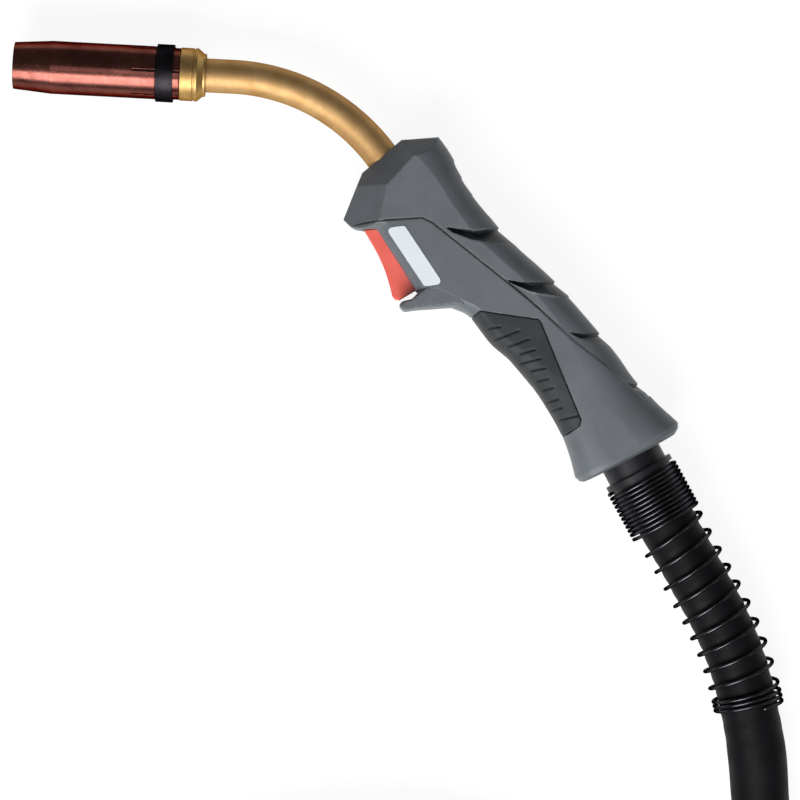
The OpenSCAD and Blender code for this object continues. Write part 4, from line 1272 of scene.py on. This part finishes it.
# %% Trigger
TRIGGER_LAYERS = [(-7.5, 0.5), (-7.05, 0.0), (7.05, 0.0), (7.5, 0.5)]
points = []
for height, shrink in TRIGGER_LAYERS:
    for i, q in enumerate(trigger_line):
        on = np.array(trigger_line[(i + 1) % len(trigger_line)]) - np.array(trigger_line[i - 1])
        on = on / max(np.linalg.norm(on), 1e-9)
        points.append((q[0] - on[1] * shrink, q[1] + on[0] * shrink, height))
faces = ring_faces(len(trigger_line), len(TRIGGER_LAYERS))
trigger = add_mesh("trigger_lever", handle_world(np.array(points)), faces)
trigger.data.set_sharp_from_angle(angle=math.radians(28))
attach(trigger, "trigger")
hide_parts("trigger")
print("trigger points:", len(trigger.data.vertices))

# %% [markdown]
# ## Swan neck
# The neck is a brass tube, straight behind the nozzle, bent by fifty degrees on a wide arc, and
# straight again into the head. Bent tube must flow without facets, because polished metal shows
# each one as a band. The tube helper gives it 64 sides and many rings on the arc.

# %% Swan neck
NECK_D = 15.5
NECK_R = 89.4
NECK_Y = 83.6803
NECK_FRONT = -117.2
BEND_STEPS = 48
bend_end = FACE - 1.4 * NECK_WAY
bend_middle = bend_end - NECK_R * np.array([math.sin(NECK_ANG), math.cos(NECK_ANG), 0])
neck_line = [np.array([x, NECK_Y, AXIS_Z]) for x in np.linspace(NECK_FRONT, bend_middle[0] - 0.5, 8)]
for k in range(BEND_STEPS + 1):
    a = NECK_ANG * k / BEND_STEPS
    neck_line.append(bend_middle + NECK_R * np.array([math.sin(a), math.cos(a), 0]))
neck_line += [bend_end + d * NECK_WAY for d in np.linspace(1, 26, 9)]
neck = tube("neck_tube", neck_line, NECK_D / 2, 64)
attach(neck, "torch")
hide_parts("swan_neck")
print("neck from", neck_line[0].round(1), "to", neck_line[-1].round(1))

# %% [markdown]
# ## Materials
# A finish is more than a colour. Its tint drifts a little, its polish is uneven, and its surface
# has a fine grain. Effects that several finishes share are node groups with named inputs and
# outputs, built once. A group gives out only a colour, a mask, a value or a height, while the
# shader stays in the material itself.

# %% A node group with named sockets
def new_group(name, inputs, outputs):
    """A node group with named sockets. Each input is (name, kind, default), each output (name, kind)."""
    tree = bpy.data.node_groups.new(name, "ShaderNodeTree")
    for label, kind, value in inputs:
        socket = tree.interface.new_socket(label, in_out="INPUT", socket_type="NodeSocket" + kind)
        socket.default_value = value
    for label, kind in outputs:
        tree.interface.new_socket(label, in_out="OUTPUT", socket_type="NodeSocket" + kind)
    start = tree.nodes.new("NodeGroupInput")
    end = tree.nodes.new("NodeGroupOutput")
    return tree, start.outputs, end.inputs


print("groups so far:", len(bpy.data.node_groups))

# %% Placing nodes
def put(tree, kind, settings=None, **wires):
    """A node with its settings. A wire is a socket or a value, named after the input or its number."""
    node = tree.nodes.new("ShaderNode" + kind)
    for key, value in (settings or {}).items():
        setattr(node, key, value)
    for key, value in wires.items():
        place = int(key[1:]) if key[0] == "i" and key[1:].isdigit() else key.replace("_", " ")
        socket = node.inputs[place]
        if isinstance(value, bpy.types.NodeSocket):
            tree.links.new(value, socket)
        else:
            socket.default_value = value
    return node


def place_in_object(tree, size):
    """Coordinates that lie still on a piece, in units of size millimetres."""
    where = put(tree, "TexCoord")
    return put(tree, "Mapping", Vector=where.outputs["Object"],
               Scale=tuple(1 / (s * MM) for s in size)).outputs[0]


print("node helpers are ready")

# %% [markdown]
# ## Grain and polish
# Moulds are spark-eroded and leave a fine even grain, which breaks a highlight up. Hands polish a
# tool in patches. Both are noise, one very fine that feeds the bump and one broad that feeds the
# roughness. Object coordinates keep them still when a piece moves, and they need no UV map.

# %% Grain and polish
def grain_group(name, size):
    """Fine grain: the height of a moulded, cast or rubbed surface."""
    tree, start, end = new_group(name, [], [("Height", "Float")])
    noise = put(tree, "TexNoise", Vector=place_in_object(tree, size), Scale=1.0, Detail=3.0, Roughness=0.6)
    tree.links.new(noise.outputs[0], end["Height"])
    return tree


def patch_group(name, size, low, high):
    """Patches of handling and dust: a roughness that drifts between two values."""
    tree, start, end = new_group(name, [("Low", "Float", low), ("High", "Float", high)],
                                 [("Roughness", "Float")])
    noise = put(tree, "TexNoise", Vector=place_in_object(tree, size), Scale=1.0, Detail=4.0, Roughness=0.65)
    spread = put(tree, "MapRange", Value=noise.outputs[0], i1=0.3, i2=0.7, i3=start["Low"], i4=start["High"])
    tree.links.new(spread.outputs[0], end["Roughness"])
    return tree


print("grain and polish groups can be made")

# %% [markdown]
# ## Drifting colour
# No plastic or brass has the same colour all over. Two near shades are mixed in soft patches, close
# enough that the eye sees depth and not spots.

# %% Drifting colour
def mottle_group(name, size, first, second):
    """A colour that drifts between two shades in soft patches."""
    tree, start, end = new_group(name, [("First", "Color", first), ("Second", "Color", second)],
                                 [("Colour", "Color")])
    noise = put(tree, "TexNoise", Vector=place_in_object(tree, size), Scale=1.0, Detail=4.0, Roughness=0.6)
    spread = put(tree, "MapRange", Value=noise.outputs[0], i1=0.35, i2=0.65)
    mix = put(tree, "Mix", {"data_type": "RGBA"}, i0=spread.outputs[0], i6=start["First"],
              i7=start["Second"])
    tree.links.new(mix.outputs[2], end["Colour"])
    return tree


print("shade groups can be made")

# %% [markdown]
# ## Lathe lines, weave and scuffs
# A lathe leaves fine rings round a collar, which a wave texture across its axis gives. A strap's
# weave is two sets of threads that pass over each other, so two waves are multiplied. Scuffs and
# heat stains are the highest tops of a noise, cut off to a mask.

# %% Lathe lines, weave and scuffs
WAVE_SPAN = 0.314  # the distance, in metres, after which a wave of scale 1 comes again


def lines_group(name, gap):
    """Fine straight lines, as a lathe leaves them: their height over the surface. gap is in mm."""
    tree, start, end = new_group(name, [], [("Height", "Float")])
    where = put(tree, "TexCoord").outputs["Object"]
    wave = put(tree, "TexWave", {"bands_direction": "X"}, Vector=where,
               Scale=WAVE_SPAN / (gap * MM), Distortion=0.6, Detail=2.0)
    tree.links.new(wave.outputs["Fac"], end["Height"])
    return tree


def weave_group(name, gap):
    """A plain weave: threads that go over and under each other. gap is a thread's width in mm."""
    tree, start, end = new_group(name, [], [("Height", "Float")])
    where = put(tree, "TexCoord").outputs["Object"]
    threads = [put(tree, "TexWave", {"bands_direction": way}, Vector=where, Scale=WAVE_SPAN / (gap * MM))
               for way in ("X", "Y", "Z")]
    pair = put(tree, "Math", {"operation": "MULTIPLY"}, i0=threads[0].outputs["Fac"],
               i1=threads[1].outputs["Fac"])
    both = put(tree, "Math", {"operation": "MAXIMUM"}, i0=pair.outputs[0], i1=threads[2].outputs["Fac"])
    tree.links.new(both.outputs[0], end["Height"])
    return tree


def scuff_group(name, size, share):
    """A mask of small scuffs and stains. A smaller share leaves fewer of them."""
    tree, start, end = new_group(name, [], [("Mask", "Float")])
    noise = put(tree, "TexNoise", Vector=place_in_object(tree, size), Scale=1.0, Detail=6.0, Roughness=0.7)
    mask = put(tree, "MapRange", Value=noise.outputs[0], i1=0.78 - share, i2=0.84 - share)
    tree.links.new(mask.outputs[0], end["Mask"])
    return tree


print("line, weave and scuff groups can be made")

# %% [markdown]
# ## One recipe
# All finishes are built the same way: shades feed the colour, patches feed the roughness, grain
# feeds a bump. Where a piece has stored painted shade, the colour darkens there. A Bevel node
# can round the sharp edges of a plain solid in shading only, without touching its mesh. Numbers
# that are the same all over are set on the shader's own sockets.

# %% The recipe of a material
def use_group(tree, group, output):
    """Places a node group in a material and gives one of its outputs."""
    node = tree.nodes.new("ShaderNodeGroup")
    node.node_tree = group
    return node.outputs[output]


def new_material(name, constants, colour, roughness, height, bump, depth, painted_shade_colour, edge, scuffs):
    """A material whose groups feed the shader's colour, roughness and bump.

    bump is the bump's strength, depth its height and edge the radius of edges rounded in shading only, both
    in mm.
    The colour after depth is what stored painted shade darkens to, and scuffs a pair: the group that masks
    them, their colour.
    """
    material = bpy.data.materials.new(name)
    material.use_nodes = True
    tree = material.node_tree
    shader = tree.nodes["Principled BSDF"]
    for key, value in constants.items():
        shader.inputs[key].default_value = value
    shade = use_group(tree, colour, "Colour")
    # Stored painted shade darkens the colour here.
    if painted_shade_colour:
        place = put(tree, "Attribute", {"attribute_name": "shade"}).outputs["Fac"]
        shade = put(tree, "Mix", {"data_type": "RGBA"}, i0=place, i6=shade, i7=painted_shade_colour).outputs[2]
    if scuffs:
        mask = use_group(tree, scuffs[0], "Mask")
        shade = put(tree, "Mix", {"data_type": "RGBA"}, i0=mask, i6=shade, i7=scuffs[1]).outputs[2]
    tree.links.new(shade, shader.inputs["Base Color"])
    tree.links.new(use_group(tree, roughness, "Roughness"), shader.inputs["Roughness"])
    relief = put(tree, "Bump", Height=use_group(tree, height, "Height"), Strength=bump, Distance=depth * MM)
    if edge:
        soft = put(tree, "Bevel", {"samples": 6}, Radius=edge * MM)
        tree.links.new(soft.outputs[0], relief.inputs["Normal"])
    tree.links.new(relief.outputs[0], shader.inputs["Normal"])
    return material


print("the recipe is ready")

# %% [markdown]
# ## Metals and plastics
# A metal mirrors in its own colour and has no colour under the mirror. Its tint at grazing angles
# is set lower here, a painted shade that darkens its edges where they would mirror the bright floor.
# A plastic has its colour inside and a clear gloss on top, weaker on rubber than on a hard moulding.

# %% Metal and plastic
def metal(name, first, second, low, high, painted_rim_shade=(200, 200, 200), height=None, bump=0.15, edge=0.35,
          scuffs=None):
    """A metal of two near shades, with its roughness from low to high and a darker tint at grazing angles,
    painted shade at its edges.
    """
    return new_material(name, {"Metallic": 1.0, "Specular Tint": srgb(*painted_rim_shade)},
                        mottle_group(name + " shades", (9, 9, 9), srgb(*first), srgb(*second)),
                        patch_group(name + " polish", (4, 4, 4), low, high),
                        height or grain_group(name + " grain", (0.25, 0.25, 0.25)),
                        bump, 0.03, None, edge, scuffs)


def plastic(name, first, second, low, high, bump=0.35, depth=0.05, gloss=0.5, painted_shade_colour=None, height=None,
            edge=0.0):
    """A plastic or rubber of two near shades, with its roughness from low to high and a clear gloss."""
    return new_material(name, {"Specular IOR Level": gloss},
                        mottle_group(name + " shades", (14, 14, 14), srgb(*first), srgb(*second)),
                        patch_group(name + " sheen", (7, 7, 7), low, high),
                        height or grain_group(name + " grain", (0.35, 0.35, 0.35)),
                        bump, depth, painted_shade_colour, edge, None)


print("metal and plastic recipes are ready")

# %% [markdown]
# ## Copper and brass
# The nozzle is drawn copper, dulled and stained by heat, so it mirrors softly and has darker spots.
# The neck is brass tube with a matt satin polish. The collar between them is turned, and its lathe
# lines break the mirror into rings. The unseen brass and copper inside is bright and new.

# %% Copper and brass
looks = {}
dark_stains = scuff_group("dark stains", (5, 2, 2), 0.1)
# The dark grazing tints of these metals are painted shade at their edges.
looks["nozzle_copper"] = metal("nozzle copper", (124, 76, 68), (104, 60, 53), 0.22, 0.3, painted_rim_shade=(112, 72, 64),
                               scuffs=(dark_stains, srgb(104, 64, 54)))
looks["tip_copper"] = metal("tip copper", (206, 132, 96), (184, 110, 78), 0.24, 0.36)
looks["collar_brass"] = metal("collar brass", (206, 170, 112), (180, 142, 88), 0.4, 0.52, painted_rim_shade=(112, 78, 48),
                              height=lines_group("lathe lines", 1.5), bump=0.35)
looks["neck_brass"] = metal("neck brass", (210, 172, 120), (196, 156, 104), 0.54, 0.64,
                            painted_rim_shade=(112, 80, 54), edge=0,
                            scuffs=(dark_stains, srgb(176, 132, 88)))
looks["inner_brass"] = metal("turned brass", (206, 172, 112), (188, 152, 94), 0.24, 0.36)
print("finishes so far:", list(looks))

# %% [markdown]
# ## Steel
# The clip ring and the support spring are steel with a black coating. Under it they still mirror
# like metal, so they are made as dark metals and not as black paint: the spring then shows thin
# bright glints along its wire. The screws are zinc-plated.

# %% Steel
light_scuffs = scuff_group("light scuffs", (1.6, 0.5, 1.6), 0.06)
# The clip's dark grazing tint is painted shade at its edges.
looks["clip_steel"] = metal("clip steel", (50, 47, 50), (34, 32, 35), 0.38, 0.5, painted_rim_shade=(90, 88, 92),
                            scuffs=(light_scuffs, srgb(150, 146, 150)))
looks["bright_steel"] = metal("zinc-plated steel", (206, 206, 210), (188, 188, 194), 0.2, 0.3, edge=0.15)
# A near-black grazing tint: painted shade that keeps the wire's edges black.
looks["spring_black"] = metal("spring coating", (76, 76, 80), (62, 62, 66), 0.24, 0.32,
                              painted_rim_shade=(16, 16, 18), edge=0)
print("finishes so far:", len(looks))

# %% [markdown]
# ## Hard plastics
# The shells are a cool grey plastic with a fine spark-eroded grain, half matt. The floor under each
# fin, the panel's line and the rear edge's band take the stored painted shade and go darker, and the
# seam between the halves is a dark joint. The trigger is a clear red with a little more gloss, the
# ball joint and the nut are near black, and the plate is smooth and pale.

# %% Hard plastics
# srgb(40, 43, 46) is painted shade under the fins, in the panel line and at the rear edge, and the dark
# seam's colour.
looks["handle_grey"] = plastic("handle plastic", (108, 113, 118), (101, 106, 110), 0.42, 0.5, gloss=0.4,
                               painted_shade_colour=srgb(40, 43, 46))
looks["plug_grey"] = plastic("plug plastic", (64, 67, 71), (60, 63, 67), 0.42, 0.52, edge=0.4)
looks["nut_black"] = plastic("nut plastic", (36, 37, 40), (29, 30, 33), 0.42, 0.52, gloss=0.4, edge=0.4)
looks["joint_black"] = plastic("joint plastic", (27, 26, 32), (22, 21, 27), 0.38, 0.5, bump=0.2,
                               gloss=0.32, edge=0.3)
looks["plate_white"] = plastic("plain plate", (241, 247, 252), (237, 243, 249), 0.3, 0.4, bump=0.08)
looks["trigger_red"] = plastic("trigger plastic", (252, 112, 97), (246, 104, 89), 0.36, 0.46, bump=0.15)
print("finishes so far:", len(looks))

# %% [markdown]
# ## Rubber and fabric
# Rubber and the hose's sleeve swallow light: very dark, rough, with little gloss even at their
# edges. The straps add a weave, as a height that makes its threads stand out.

# %% Rubber and fabric
# srgb(22, 23, 24) is painted shade at the pad's sunken edge and in its grooves.
looks["grip_rubber"] = plastic("grip rubber", (58, 60, 62), (49, 51, 53), 0.55, 0.68, gloss=0.35,
                               painted_shade_colour=srgb(22, 23, 24))
looks["hose_black"] = plastic("hose sleeve", (13, 12, 16), (9, 8, 11), 0.5, 0.64, gloss=0.14)
looks["boot_rubber"] = plastic("boot rubber", (26, 26, 30), (20, 20, 24), 0.5, 0.62, gloss=0.35)
looks["strap_fabric"] = plastic("strap weave", (40, 40, 44), (30, 30, 34), 0.75, 0.85,
                                height=weave_group("weave", 0.8), bump=0.7, depth=0.2)
looks["lead_rubber"] = plastic("lead insulation", (196, 92, 40), (180, 80, 34), 0.45, 0.55)
print("finishes so far:", len(looks))

# %% [markdown]
# ## What is inside
# The seat of the nozzle, the gas distributor, the wire guide and the switch are hidden, but they
# show as soon as the nozzle is pulled off or a shell is taken away. They get plain true colours
# from the same recipe.

# %% Inner finishes
looks["seat_fibre"] = plastic("seat fibre", (40, 36, 34), (30, 28, 26), 0.6, 0.75)
looks["diffuser_white"] = plastic("diffuser plastic", (228, 224, 214), (216, 210, 198), 0.4, 0.5)
looks["guide_plastic"] = plastic("guide plastic", (232, 230, 220), (222, 218, 206), 0.35, 0.45)
looks["switch_black"] = plastic("switch plastic", (44, 44, 48), (36, 36, 40), 0.4, 0.5)
looks["plunger_red"] = plastic("plunger plastic", (196, 52, 40), (180, 44, 34), 0.35, 0.45)
print("finishes:", len(looks))

# %% [markdown]
# ## Dressing
# The record names a finish for each node of the frame, so the solids are dressed by one loop. The
# pieces made in this lesson are dressed from a short list.

# %% Dressing the pieces
slot_of = {part["node"]: part["material_slot"] for part in frame["record"]["subparts"]}
for name, piece in nodes.items():
    dress(piece, looks[slot_of[name]])
for look, pieces in {
        "hose_black": [hose], "spring_black": [spring], "strap_fabric": straps, "boot_rubber": [boot],
        "handle_grey": shells, "grip_rubber": [pad], "plate_white": [label], "trigger_red": [trigger],
        "neck_brass": [neck], "bright_steel": screws}.items():
    for piece in pieces:
        dress(piece, looks[look])
print("materials:", len(bpy.data.materials))

# %% [markdown]
# ## The floor's finish
# The floor should look white, but a floor that is white for every ray throws so much light up that
# black rubber turns grey. Light Path tells the rays apart. Rays from the camera, from mirrors and
# through glass see a bright floor that still takes the torch's soft shadow, and all others see a
# grey one.

# %% The floor's finish
floor_look = bpy.data.materials.new("floor")
floor_look.use_nodes = True
tree = floor_look.node_tree
paper = tree.nodes["Principled BSDF"]
paper.inputs["Base Color"].default_value = srgb(116, 118, 120)
paper.inputs["Roughness"].default_value = 0.8
white = put(tree, "Emission", Color=(1, 1, 1, 1), Strength=0.9)
shadowed = put(tree, "BsdfDiffuse", Color=(0.18, 0.18, 0.18, 1))
glow = put(tree, "AddShader", i0=white.outputs[0], i1=shadowed.outputs[0])
path = put(tree, "LightPath")
direct = put(tree, "Math", {"operation": "MAXIMUM"}, i0=path.outputs["Is Camera Ray"],
             i1=path.outputs["Is Glossy Ray"])
seen = put(tree, "Math", {"operation": "MAXIMUM"}, i0=direct.outputs[0],
           i1=path.outputs["Is Transmission Ray"])
mix = put(tree, "MixShader", i0=seen.outputs[0], i1=paper.outputs[0], i2=glow.outputs[0])
tree.links.new(mix.outputs[0], tree.nodes["Material Output"].inputs["Surface"])
dress(floor, floor_look)
print("floor finish:", floor_look.name)
